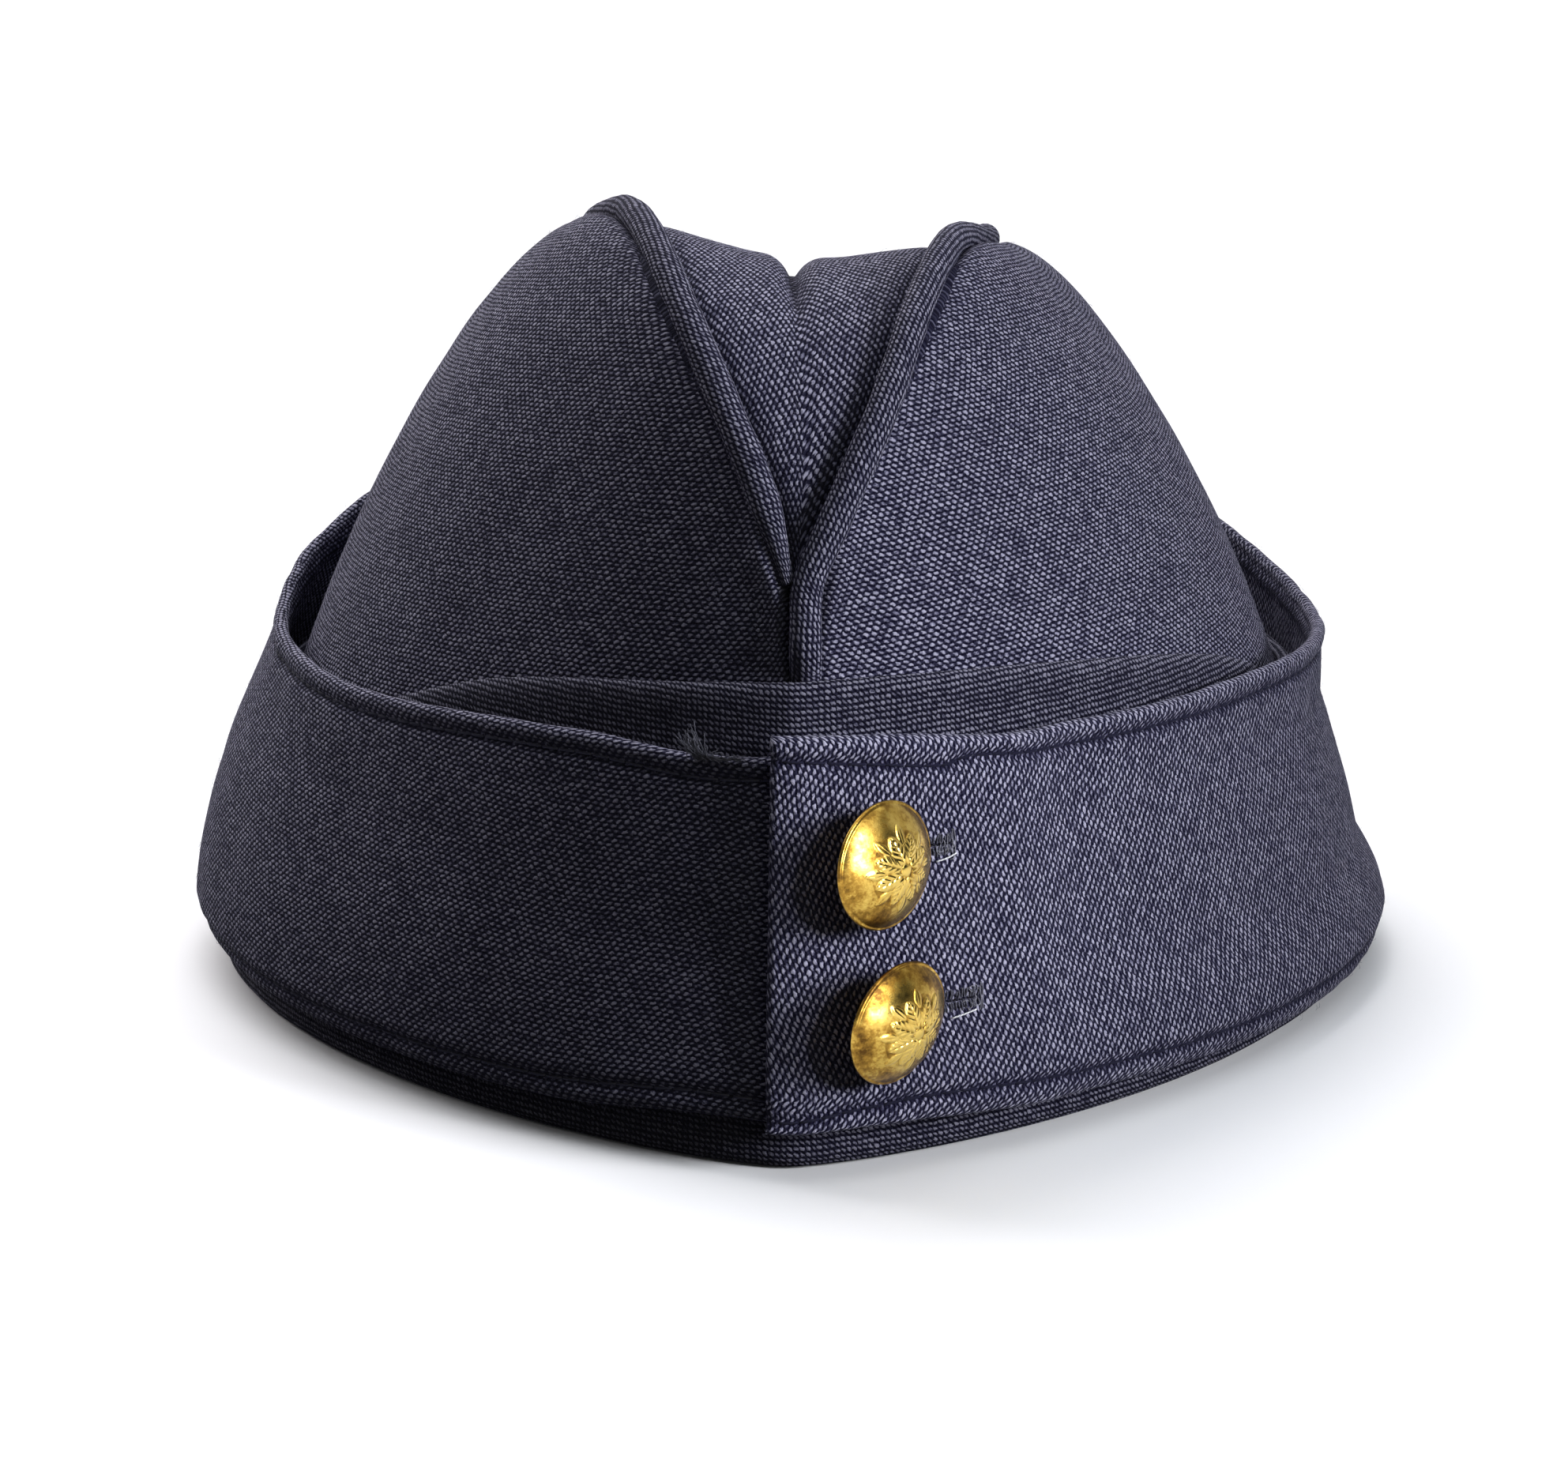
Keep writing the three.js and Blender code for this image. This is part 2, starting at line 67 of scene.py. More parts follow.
camera_data = bpy.data.cameras.new("product_camera")
camera_data.sensor_width = SENSOR_MM
camera_data.lens = SENSOR_MM * FOCAL_PX / FRAME_WIDTH_PX
camera = bpy.data.objects.new("product_camera", camera_data)
camera.location = (0, CAP_FORWARD - CAMERA_BACK, CAMERA_HIGH)
camera.rotation_euler = (math.radians(90 - CAMERA_PITCH), 0, math.radians(CAMERA_YAW))
bpy.context.scene.collection.objects.link(camera)
bpy.context.scene.camera = camera
print(f"camera lens {camera_data.lens:.1f} mm")

# %% Lights
CAP_MIDDLE = (0, 0, 0.06)
DAYLIGHT, WHITE = (0.94, 0.96, 1), (1, 1, 1)
SUNS = (
    ("ceiling", (0.1, 0.1, 1.2), 1.2, (0.9, 0.95, 1), 70),
    ("back_wall", (-0.45, 0.9, 0.8), 4.2, (1, 0.97, 0.98), 70),
    ("left_wall", (-1.0, 0.1, 0.7), 0.15, (1, 0.97, 0.97), 40))
SPOTS = (
    ("window", (0.5, -0.35, 0.23), 32, (0.012, -0.1, 0.05), 29, 0.12),
    ("window_edge", (0.35, -0.52, 0.29), 14, (0.006, -0.107, 0.034), 8, 0.05))
MIRRORED = (
    ("softbox", (0.27, -0.7, 0.3), 8, 0.28, 0.6),
    ("room_front", (0.3, -0.8, 0.9), 4, 1.4, 0.8),
    ("room_right", (0.8, 0.4, 0.4), 1.8, 1.2, 0.9))


def add_light(name, kind, place, energy, color, aim=CAP_MIDDLE, **settings):
    """Light that points at the cap and stays out of the picture."""
    data = bpy.data.lights.new(name, kind)
    data.energy = energy
    data.color = color
    for setting, value in settings.items():
        setattr(data, setting, value)
    light = bpy.data.objects.new(name, data)
    light.location = place
    light.rotation_euler = (Vector(aim) - Vector(place)).to_track_quat("-Z", "Y").to_euler()
    light.visible_camera = False
    bpy.context.scene.collection.objects.link(light)
    return light


for name, place, energy, color, wide in SUNS:
    add_light(name, "SUN", place, energy, color, angle=math.radians(wide))
for name, place, energy, aim, spread, size in SPOTS:
    spot = add_light(
        name, "SPOT", place, energy, DAYLIGHT, aim, shadow_soft_size=size,
        spot_size=math.radians(spread), spot_blend=1.0)
    spot.visible_glossy = False
for name, place, energy, wide, tall in MIRRORED:
    panel = add_light(name, "AREA", place, energy, WHITE, shape="RECTANGLE", size=wide, size_y=tall)
    panel.visible_diffuse = False
print("lights:", ", ".join(light[0] for light in SUNS + SPOTS + MIRRORED))

# %% Room and floor
ROOM_COLOR, ROOM_STRENGTH = (0.96, 0.98, 1, 1), 0.025
FLOOR_SIZE, FLOOR_BELOW = 40, 0.0002
PAPER_COLOR, PAPER_ROUGH = (0.93, 0.93, 0.94, 1), 0.9

world = bpy.data.worlds.new("studio")
world.use_nodes = True
room = world.node_tree.nodes["Background"].inputs
room["Color"].default_value = ROOM_COLOR
room["Strength"].default_value = ROOM_STRENGTH
bpy.context.scene.world = world
bpy.context.scene.view_settings.view_transform = "Standard"

bpy.ops.object.select_all(action="DESELECT")
bpy.ops.mesh.primitive_plane_add(size=FLOOR_SIZE, location=(0, 0, -FLOOR_BELOW))
floor = bpy.context.object
floor.name = "studio_floor"
paper = bpy.data.materials.new("pale_paper")
paper.use_nodes = True
paper_look = paper.node_tree.nodes["Principled BSDF"].inputs
paper_look["Base Color"].default_value = PAPER_COLOR
paper_look["Roughness"].default_value = PAPER_ROUGH
floor.data.materials.append(paper)
floor.visible_diffuse = False
print("studio ready, floor", floor.dimensions[:])

# %% [markdown]
# ## Measures
# The cap has hardly a straight line, so each part of it is known by a few sections. They could be drawn
# as Bezier curves by hand, but short tables keep the real sizes in sight. Shapes are worked out in
# millimetres and turned to metres only when a mesh is made, and a smooth curve runs through the rows of
# each table, as a draughtsman's spline does.

# %% Tables of the cap
MM = 0.001
CLOTH = 2.0
GAP = 0.5
LAYER = CLOTH + GAP
HALF_WIDTH = 81.5
HALF_LENGTH = 103.5
CROWN_FOOT = CLOTH + 2 * GAP
PROW_POWER = 1.34
SIDE_POWER = 1.88
CORD_RADIUS = 2.1
FORWARD = np.array([0, CAP_FORWARD / MM, 0])
TURN = {"left": -1, "right": 1}


def table(columns, *rows):
    """Short table with named columns and a row for each section."""
    return np.array(list(rows), dtype=[(name, float) for name in columns.split()])


SEAMS = table(
    "y left_x left_z right_x right_z",
    (-98, 0.2, 74, 1.8, 74),
    (-94, -3.2, 85, 6.5, 84.5),
    (-87, -8.6, 97, 11.6, 95),
    (-76, -13.9, 107, 15.5, 104),
    (-62, -17.6, 112.5, 18.8, 109),
    (-46, -21, 114, 21.7, 110.3),
    (-18, -26, 109, 26.3, 106),
    (15, -28, 102, 28, 101),
    (48, -25, 94, 25, 94),
    (74, -17, 83.5, 17, 83.5),
    (90, -7, 72, 7, 72),
    (98, 0.2, 60, 1.8, 60))

CREASE = table(
    "along depth", (0, 0), (0.14, 0.8), (0.3, 5.6), (0.5, 10), (0.75, 8), (1, 0))

BAND_TOP = table(
    "angle left right",
    (0, 63.6, 63.6), (20, 61.9, 62.9), (40, 57.5, 59.8), (60, 47, 53.7), (80, 42, 43), (180, 42, 42))

FLAP_SHAPE = {
    "left": table(
        "angle low top foot bulge waist lip",
        (0, 6.8, 55, 4.8, 5.2, 3.6, 1.3),
        (15, 7, 54, 4.8, 5.3, 3.5, 0.6),
        (30, 5.2, 54.4, 4.9, 5.6, 3.1, -1),
        (60, 4.7, 50.7, 5.6, 6.4, 2.4, -4.5),
        (90, 5, 50.6, 6, 6.35, 2.2, -6.7),
        (105, 5, 54.5, 5.4, 6.3, 2.4, -5),
        (120, 5, 59, 5, 6, 2.5, -3),
        (150, 5, 59, 4.8, 5.5, 4, 1),
        (180, 5, 55, 4.8, 5.4, 5.4, 4)),
    "right": table(
        "angle low top foot bulge waist lip",
        (0, 6, 58.2, 7.2, 7.6, 6.2, 3.9),
        (15, 6.3, 57.2, 7.2, 7.8, 6, 3.4),
        (30, 5, 54.3, 6.4, 7.5, 3.8, 1),
        (60, 3, 51.6, 5.2, 6.6, -0.5, -2.5),
        (90, 3.1, 49, 4.8, 6.65, -2.4, -3.7),
        (105, 3.6, 50.4, 4.8, 6.2, -1.5, -2.6),
        (120, 4, 55, 4.8, 6, -0.5, -1.5),
        (150, 5, 58, 4.8, 5.5, 3.5, 1),
        (180, 5, 55, 4.8, 5.4, 5.4, 4)),
}
FLAP_SHARES = np.array([0, 0.12, 0.5, 1])
FLAP_FRONT = {"left": 25, "right": -1.5}
LAP_FADE = 12
print("rows:", len(SEAMS), "seam,", len(FLAP_SHAPE["left"]), "for each flap")

# %% Smooth curves


def eased(t):
    """Share of the way that starts and ends slowly."""
    return t * t * (3 - 2 * t)


def smoothstep(low, high, values):
    """Zero below one value, one above another, and eased between them."""
    return eased(np.clip((values - low) / (high - low), 0, 1))


def curve_between(start, end, leaving, arriving, t):
    """Curve from a start to an end, with the rates at which it leaves and arrives."""
    return start + (end - start) * eased(t) + leaving * t * (1 - t) ** 2 - arriving * t * t * (1 - t)


def smooth_through(x, y, values):
    """Smooth curve through the points (x, y), read at values. y may have its own heights for each value."""
    i = np.clip(np.searchsorted(x, values, side="right") - 1, 0, len(x) - 2)

    def height(k):
        k = np.clip(k, 0, len(x) - 1)
        return y[k] if y.ndim == 1 else np.take_along_axis(y, k[None], axis=0)[0]
    t = (values - x[i]) / (x[i + 1] - x[i])
    leaving, arriving = (height(i + 1) - height(i - 1)) / 2, (height(i + 2) - height(i)) / 2
    return curve_between(height(i), height(i + 1), leaving, arriving, t)


def smooth(rows, place, column, values):
    """One column of a table, read between its rows."""
    return smooth_through(rows[place], rows[column], values)


print("band top at 50 degrees:", smooth(BAND_TOP, "angle", "right", np.array([50.0])).round(1), "mm")

# %% Lines of points
PATH_STEPS = 40


def length_of(vectors):
    """Lengths of vectors."""
    return np.linalg.norm(vectors, axis=-1)


def unit(vectors):
    """Directions of vectors."""
    return vectors / length_of(vectors)[..., None]


def square_to(vectors, ways):
    """Directions of vectors, made square to other directions."""
    return unit(vectors - ways * (vectors * ways).sum(axis=-1)[..., None])


def run_along(line):
    """Distance along a line of points, from the first one to each."""
    return np.concatenate([[0], np.cumsum(length_of(np.diff(line, axis=0)))])


def resample(run, values, at):
    """Vectors that are known along a run, read at other places of it."""
    return np.stack([np.interp(at, run, values[:, k]) for k in range(3)], axis=-1)


def even_path(points):
    """Function that gives places along a smooth curve through the points, by share of its length."""
    p = np.concatenate([[2 * points[0] - points[1]], points, [2 * points[-1] - points[-2]]])
    knot = np.sqrt(length_of(np.diff(p, axis=0)))[:, None]
    t = np.linspace(0, 1, PATH_STEPS, endpoint=False)[:, None]
    dense = []
    for i in range(1, len(p) - 2):
        before, here, after = knot[i - 1], knot[i], knot[i + 1]
        step = p[i + 1] - p[i]
        leaving = here * ((p[i] - p[i - 1]) / before - (p[i + 1] - p[i - 1]) / (before + here)) + step
        arriving = here * ((p[i + 2] - p[i + 1]) / after - (p[i + 2] - p[i]) / (here + after)) + step
        dense.append(curve_between(p[i], p[i + 1], leaving, arriving, t))
    dense = np.concatenate(dense + [points[-1:]])
    run = run_along(dense)

    def place(share):
        return resample(run, dense, share * run[-1])
    return place


seam_path = {
    side: even_path(np.stack([SEAMS[f"{side}_x"], SEAMS["y"], SEAMS[f"{side}_z"]], axis=-1))
    for side in TURN}
for side, path in seam_path.items():
    print(f"{side} seam: {run_along(path(np.linspace(0, 1, 200)))[-1]:.0f} mm long")

# %% Outline of the rim
RIM_STEPS = 4001


def signed_power(value, power):
    """Power of a value's size, with the value's sign kept."""
    return np.sign(value) * np.abs(value) ** power


def rim(angle, out=0.0):
    """Outline of the crown's rim in plan, moved outwards, and the way it faces."""
    s, c = np.sin(angle), np.cos(angle)
    facing = unit(np.stack([
        PROW_POWER * signed_power(s, 2 - 2 / PROW_POWER) / HALF_WIDTH,
        -SIDE_POWER * signed_power(c, 2 - 2 / SIDE_POWER) / HALF_LENGTH], axis=-1))
    point = np.stack([
        HALF_WIDTH * signed_power(s, 2 / PROW_POWER),
        -HALF_LENGTH * signed_power(c, 2 / SIDE_POWER)], axis=-1)
    return point + facing * np.asarray(out)[..., None], facing


def over_rim(angle, out, height):
    """Places above the rim's outline, moved outwards."""
    point, _ = rim(angle, out)
    return np.concatenate([point, np.broadcast_to(height, angle.shape)[..., None]], axis=-1)


def angle_at(x):
    """Angle from the front at which the rim reaches a distance to the side."""
    return np.sign(x) * np.arcsin((np.abs(x) / HALF_WIDTH) ** (PROW_POWER / 2))


def angle_by_share(first, last, share):
    """Angle at a share of the way along the rim, from one angle to another."""
    dense = np.linspace(first, last, RIM_STEPS)
    run = run_along(rim(dense)[0])
    return np.interp(share * run[-1], run, dense)


print(f"rim: {run_along(rim(np.linspace(-np.pi, np.pi, RIM_STEPS))[0])[-1]:.0f} mm round")

# %% Wall of the crown
UPRIGHT_RISE, UPRIGHT_OUT = 0.4, 0.92
SHOULDER_RISE, SHOULDER_OUT = 1.07, 0.28
HALVINGS = 22


def crown_wall(side, along, up):
    """Crown side from the rim, where up is 0, to the seam, where it is 1."""
    foot = over_rim(TURN[side] * along * np.pi, np.zeros_like(along), CROWN_FOOT)
    seam = seam_path[side](along)

    def drawn_to(rise, out):
        flat = seam + (foot - seam) * out
        flat[..., 2] = foot[..., 2] + (seam[..., 2] - foot[..., 2]) * rise
        return flat
    corners = foot, drawn_to(UPRIGHT_RISE, UPRIGHT_OUT), drawn_to(SHOULDER_RISE, SHOULDER_OUT), seam
    t = up[..., None]
    return sum(
        k * (1 - t) ** (3 - i) * t ** i * corner
        for i, (k, corner) in enumerate(zip((1, 3, 3, 1), corners)))


def crown_out(angle, height):
    """How far out the crown's face is from the rim's outline at a height."""
    angle, height = np.broadcast_arrays(np.asarray(angle, float), np.asarray(height, float))
    from_front = np.where(angle > np.pi, angle - 2 * np.pi, angle)
    low, high = np.zeros(angle.shape), np.ones(angle.shape)
    for _ in range(HALVINGS):
        middle = (low + high) / 2
        face = np.where(
            (from_front < 0)[..., None],
            crown_wall("left", np.abs(from_front) / np.pi, middle),
            crown_wall("right", np.abs(from_front) / np.pi, middle))
        under = face[..., 2] < height
        low, high = np.where(under, middle, low), np.where(under, high, middle)
    point, facing = rim(angle)
    return ((face[..., :2] - point) * facing).sum(axis=-1)


print(f"crown at 60 mm up: {-crown_out(np.pi / 2, 60):.1f} mm in from the rim at the right")

# %% [markdown]
# ## Wool
# The cloth is a plain weave of blue-grey wool: each yarn goes over one and under the next, so a light
# round crest shows at every crossing with a dark pit beside it. The yarns could be modelled one by one,
# but a cap has tens of thousands of crossings, and an image would blur close by. So one node group draws
# the weave on the piece's own UV map, which holds millimetres of cloth. It gives a bump, and it paints
# the light into the colour too: painted shade in the pits and painted highlights on the crests. Every
# wool material uses the same group with its own yarn and colours.

# %% Node helpers


def feed(tree, socket, value):
    """Sets a socket to a value, or links another socket to it."""
    if isinstance(value, bpy.types.NodeSocket):
        tree.links.new(value, socket)
    else:
        socket.default_value = value


def add_node(tree, kind, inputs=None, **settings):
    """Node with its settings made and its inputs fed."""
    node = tree.nodes.new(kind)
    for setting, value in settings.items():
        setattr(node, setting, value)
    for name, value in (inputs or {}).items():
        feed(tree, node.inputs[name], value)
    return node


def calc(tree, operation, *values):
    """Math node with its values, as one number."""
    return add_node(tree, "ShaderNodeMath", dict(enumerate(values)), operation=operation).outputs[0]


def vector_calc(tree, operation, inputs):
    """Vector Math node with its inputs, as one vector."""
    return add_node(tree, "ShaderNodeVectorMath", inputs, operation=operation).outputs[0]


def ramp(tree, factor, stops):
    """Colour ramp through (position, colour) stops."""
    node = add_node(tree, "ShaderNodeValToRGB", {"Fac": factor})
    elements = node.color_ramp.elements
    while len(elements) < len(stops):
        elements.new(0.5)
    for element, (position, color) in zip(elements, stops):
        element.position = position
        element.color = (*color, 1)
    return node.outputs["Color"]


def new_group(name, inputs, outputs):
    """Shader node group with named float, vector and colour sockets."""
    tree = bpy.data.node_groups.new(name, "ShaderNodeTree")
    for way, sockets in (("INPUT", inputs), ("OUTPUT", outputs)):
        for socket, kind in sockets.items():
            tree.interface.new_socket(socket, in_out=way, socket_type=f"NodeSocket{kind}")
    return tree, tree.nodes.new("NodeGroupInput").outputs, tree.nodes.new("NodeGroupOutput").inputs


def new_material(name, **shader):
    """Material with a Principled BSDF, and its node tree and shader."""
    material = bpy.data.materials.new(name)
    material.use_nodes = True
    principled = material.node_tree.nodes["Principled BSDF"]
    for socket, value in shader.items():
        principled.inputs[socket.replace("_", " ")].default_value = value
    return material, material.node_tree, principled


print("node helpers ready")

# %% Plain weave: crests
OVER_LONG, OVER_TALL = 0.8, 0.5
UNDER_LONG, UNDER_TALL = 0.55, 0.46
CREST_LEAN = -0.5
CLOTH_DRIFT = 0.14, 3.0
YARN_DRIFT = 1.2, 2.0, 0.8
FIBRE_DRIFT = 3.6, 1.0, 0.32

weave, given, gives = new_group(
    "plain_weave",
    {"Place": "Vector", "Yarn": "Float", "Wobble": "Float", "Fuzz": "Float"},
    {"Height": "Float", "Light": "Float"})


def nudged(place, scale, detail, amount):
    """Place moved about by smooth noise."""
    drift = add_node(weave, "ShaderNodeTexNoise", {"Vector": place, "Scale": scale, "Detail": detail})
    centred = vector_calc(weave, "SUBTRACT", {0: drift.outputs["Color"], 1: (0.5, 0.5, 0.5)})
    moved = vector_calc(weave, "SCALE", {0: centred, "Scale": amount})
    return vector_calc(weave, "ADD", {0: place, 1: moved})


def crest(along, across, long, tall):
    """Rounded top of a yarn where it passes over another: 1 at its middle and 0 at its edge."""
    x, y = calc(weave, "DIVIDE", along, long), calc(weave, "DIVIDE", across, tall)
    far = calc(weave, "MULTIPLY_ADD", x, x, calc(weave, "MULTIPLY", y, y))
    return calc(weave, "MAXIMUM", calc(weave, "SUBTRACT", 1.0, far), 0.0)


def from_crest(stepped, offset):
    """Distance from the nearest crest in a row. Crests are two yarns apart."""
    wrapped = calc(weave, "FLOORED_MODULO", calc(weave, "ADD", stepped, offset), 2.0)
    return calc(weave, "SUBTRACT", wrapped, 1.0)


yarns_per_mm = calc(weave, "DIVIDE", 1.0, given["Yarn"])
yarns = vector_calc(weave, "SCALE", {0: given["Place"], "Scale": yarns_per_mm})
drifted = nudged(yarns, *CLOTH_DRIFT, given["Wobble"])
yarn_place = nudged(nudged(drifted, *YARN_DRIFT), *FIBRE_DRIFT)
split = add_node(weave, "ShaderNodeSeparateXYZ", {0: yarn_place})
row = calc(weave, "FLOOR", split.outputs["Y"])
off_row = calc(weave, "SUBTRACT", calc(weave, "FRACT", split.outputs["Y"]), 0.5)
leaning = calc(weave, "MULTIPLY_ADD", off_row, CREST_LEAN, split.outputs["X"])
stepped = calc(weave, "ADD", leaning, row)
over = crest(from_crest(stepped, 0.5), off_row, OVER_LONG, OVER_TALL)
under = crest(from_crest(stepped, 1.5), off_row, UNDER_LONG, UNDER_TALL)
print("crests of the weave:", len(weave.nodes), "nodes")

# %% Plain weave: height and light
UNDER_LOW, UNDER_DARK = 0.55, 0.16
FIBRE_SLANT, FIBRE_STRETCH = math.radians(-28), (1.5, 6.5, 1)
FIBRE_NOISE = {"Scale": 1.0, "Detail": 3.0, "Roughness": 0.6}
UNEVEN_CHANGE, UNEVEN_LEAST = 0.8, 0.75
STREAK_CHANGE, STREAK_LEAST = 4.2, 0.1
CLOUD_NOISE, CLOUD_CHANGE = {"Scale": 0.06, "Detail": 2.0}, 0.3

slant = add_node(
    weave, "ShaderNodeMapping",
    {"Vector": yarn_place, "Rotation": (0, 0, FIBRE_SLANT), "Scale": FIBRE_STRETCH})
fibres = add_node(weave, "ShaderNodeTexNoise", {"Vector": slant.outputs[0], **FIBRE_NOISE})
strand = calc(weave, "SUBTRACT", fibres.outputs["Fac"], 0.5)
fluff = calc(weave, "MULTIPLY", strand, given["Fuzz"])
low_crest = calc(weave, "MULTIPLY", calc(weave, "SQRT", under), UNDER_LOW)
raised = calc(weave, "MAXIMUM", calc(weave, "SQRT", over), low_crest)
feed(weave, gives["Height"], calc(weave, "ADD", raised, fluff))

pair = calc(weave, "FLOOR", calc(weave, "MULTIPLY", calc(weave, "ADD", stepped, 0.5), 0.5))
crest_number = add_node(weave, "ShaderNodeCombineXYZ", {"X": pair, "Y": row})
chance = add_node(
    weave, "ShaderNodeTexWhiteNoise", {"Vector": crest_number.outputs[0]}, noise_dimensions="2D")
uneven = calc(weave, "MULTIPLY_ADD", chance.outputs["Value"], UNEVEN_CHANGE, UNEVEN_LEAST)
# Painted shade: the lower yarn's crests are painted darker, under the upper yarn, and the pits between
# crests are painted near black. The upper crests carry painted highlights.
dark_crest = calc(weave, "MULTIPLY", under, UNDER_DARK)
lit = calc(weave, "MAXIMUM", calc(weave, "MULTIPLY", over, uneven), dark_crest)
streaks = calc(weave, "MAXIMUM", calc(weave, "MULTIPLY_ADD", strand, STREAK_CHANGE, 1.0), STREAK_LEAST)
streaked = calc(weave, "MULTIPLY", lit, streaks)
cloud = add_node(weave, "ShaderNodeTexNoise", {"Vector": yarns, **CLOUD_NOISE})
patchy = calc(weave, "MULTIPLY_ADD", calc(weave, "SUBTRACT", cloud.outputs["Fac"], 0.5), CLOUD_CHANGE, 1.0)
feed(weave, gives["Light"], calc(weave, "MULTIPLY", streaked, patchy))
print("whole weave:", len(weave.nodes), "nodes")

# %% Wool materials
WEAVE_MAP, WEAR_AND_LIGHT_MAP = "weave", "wear_and_painted_light"
WEAVE_RELIEF = 0.00028
WEAR_AND_LIGHT_CHANGE = 0.8
PIT_ROUGH, CREST_SMOOTHER = 0.92, -0.15
SHEEN_COLOR = (0.8, 0.8, 0.95, 1)
# The ramp runs from painted shade in the pits to painted highlights on the crests.
WOOL_STOPS = (
    (0.0, (0.0015, 0.0012, 0.009)),
    (0.3, (0.034, 0.033, 0.064)),
    (0.65, (0.14, 0.136, 0.205)),
    (1.0, (0.335, 0.325, 0.42)))


def wool(name, yarn, wobble, fuzz, depth):
    """Woven wool with painted shade in its pits and painted highlights on its crests. An attribute lightens
    rubbed edges and paints light and shade along folds, seams and grooves.
    """
    material, tree, shader = new_material(
        name, Specular_IOR_Level=0.05, Sheen_Weight=0.015, Sheen_Roughness=0.5, Sheen_Tint=SHEEN_COLOR)
    cloth_place = add_node(tree, "ShaderNodeUVMap", uv_map=WEAVE_MAP).outputs[0]
    wear_and_painted_light = add_node(tree, "ShaderNodeAttribute", attribute_name=WEAR_AND_LIGHT_MAP).outputs["Fac"]
    woven = add_node(tree, "ShaderNodeGroup", node_tree=weave)
    for socket, value in (("Place", cloth_place), ("Yarn", yarn), ("Wobble", wobble), ("Fuzz", fuzz)):
        feed(tree, woven.inputs[socket], value)
    light = woven.outputs["Light"]
    # The attribute lightens rubbed edges, paints a highlight along the band's fold, and paints shade along
    # seams, grooves, creases and the cords' inner side.
    wear_and_light_scale = calc(tree, "MULTIPLY_ADD", wear_and_painted_light, WEAR_AND_LIGHT_CHANGE, 1.0)
    stops = [(position, tuple(depth * part for part in color)) for position, color in WOOL_STOPS]
    feed(tree, shader.inputs["Base Color"], ramp(tree, calc(tree, "MULTIPLY", light, wear_and_light_scale), stops))
    feed(tree, shader.inputs["Roughness"], calc(tree, "MULTIPLY_ADD", light, CREST_SMOOTHER, PIT_ROUGH))
    bump = add_node(
        tree, "ShaderNodeBump",
        {"Height": woven.outputs["Height"], "Distance": WEAVE_RELIEF, "Strength": 1.0})
    feed(tree, shader.inputs["Normal"], bump.outputs["Normal"])
    return material


# The welts' copy is a little darker. The band's copy is darker still, as painted shade, for the band lies
# deep between the crown and the flaps.
wool_cloth = wool("wool_cloth", yarn=0.63, wobble=1.0, fuzz=0.35, depth=1.0)
wool_bias = wool("wool_bias", yarn=0.56, wobble=1.0, fuzz=0.4, depth=0.85)
wool_band = wool("wool_band", yarn=0.56, wobble=1.0, fuzz=0.4, depth=0.6)
print("wool:", wool_cloth.name, wool_bias.name, wool_band.name)

# %% [markdown]
# ## Sheets of cloth
# Every cloth piece starts as a flat grid, as it would on the cutting table. A cloth simulation could
# drape it, but these folds are pressed and sewn, so the points are moved to their places on the cap, and
# small puffs, dips and wrinkles are added along the surface. A Solidify modifier then adds the inner
# face and the strip round the edge. The wall thins to nothing within a millimetre of each edge, so folds
# come out round.

# %% Rows, directions and wrinkles of a sheet
EDGE_STEPS = 5
THIN_EDGE = 0.06
SOFTENINGS = 3
NOISE_SHIFT = (1, 2.7, 5.1)


def steps_with_round_ends(count, length):
    """Even shares from 0 to 1, with close rows for round ends, and the thickness at each."""
    bend = np.linspace(0, np.pi / 2, EDGE_STEPS + 1)
    close = CLOTH / 2 * (1 - np.cos(bend)) / length
    thick = np.maximum(np.sin(bend), THIN_EDGE)
    shares = np.concatenate([close[:-1], np.linspace(close[-1], 1 - close[-1], count), 1 - close[-2::-1]])
    return shares, np.concatenate([thick[:-1], np.ones(count), thick[-2::-1]])


def runs_over(points):
    """Distances over a grid of points, along its columns and up its rows."""
    along, up = np.zeros(points.shape[:2]), np.zeros(points.shape[:2])
    along[1:] = np.cumsum(length_of(np.diff(points, axis=0)), axis=0)
    up[:, 1:] = np.cumsum(length_of(np.diff(points, axis=1)), axis=1)
    return along, up


def facing_of(points):
    """Outward directions over a grid of points, softened so that a ridge does not fold the cloth."""
    facing = unit(np.cross(np.gradient(points, axis=0), np.gradient(points, axis=1)))
    for _ in range(SOFTENINGS):
        facing[1:-1] = (facing[:-2] + 2 * facing[1:-1] + facing[2:]) / 4
        facing[:, 1:-1] = (facing[:, :-2] + 2 * facing[:, 1:-1] + facing[:, 2:]) / 4
    return unit(facing)


def wander(points, size, seed):
    """Smooth random numbers over a grid of points, with bumps of a given size."""
    shift = Vector([seed * step for step in NOISE_SHIFT])
    flat = [noise.noise(Vector(p) / size + shift) for p in points.reshape(-1, 3)]
    return np.array(flat).reshape(points.shape[:2])


def wrinkles(points, waves, shift=0):
    """Smooth waves over a sheet. Each has its height, its size and the seed of its noise."""
    return sum(height * wander(points, size, seed + shift) for height, size, seed in waves)


def near(distance, width):
    """One at a line, falling softly to nothing beside it."""
    return np.exp(-(distance / width) ** 2)


print("rows close to an edge:", EDGE_STEPS)

# %% Grid pieces
INNER_MAP = "inner_face"
MERGE_WITHIN = 0.01


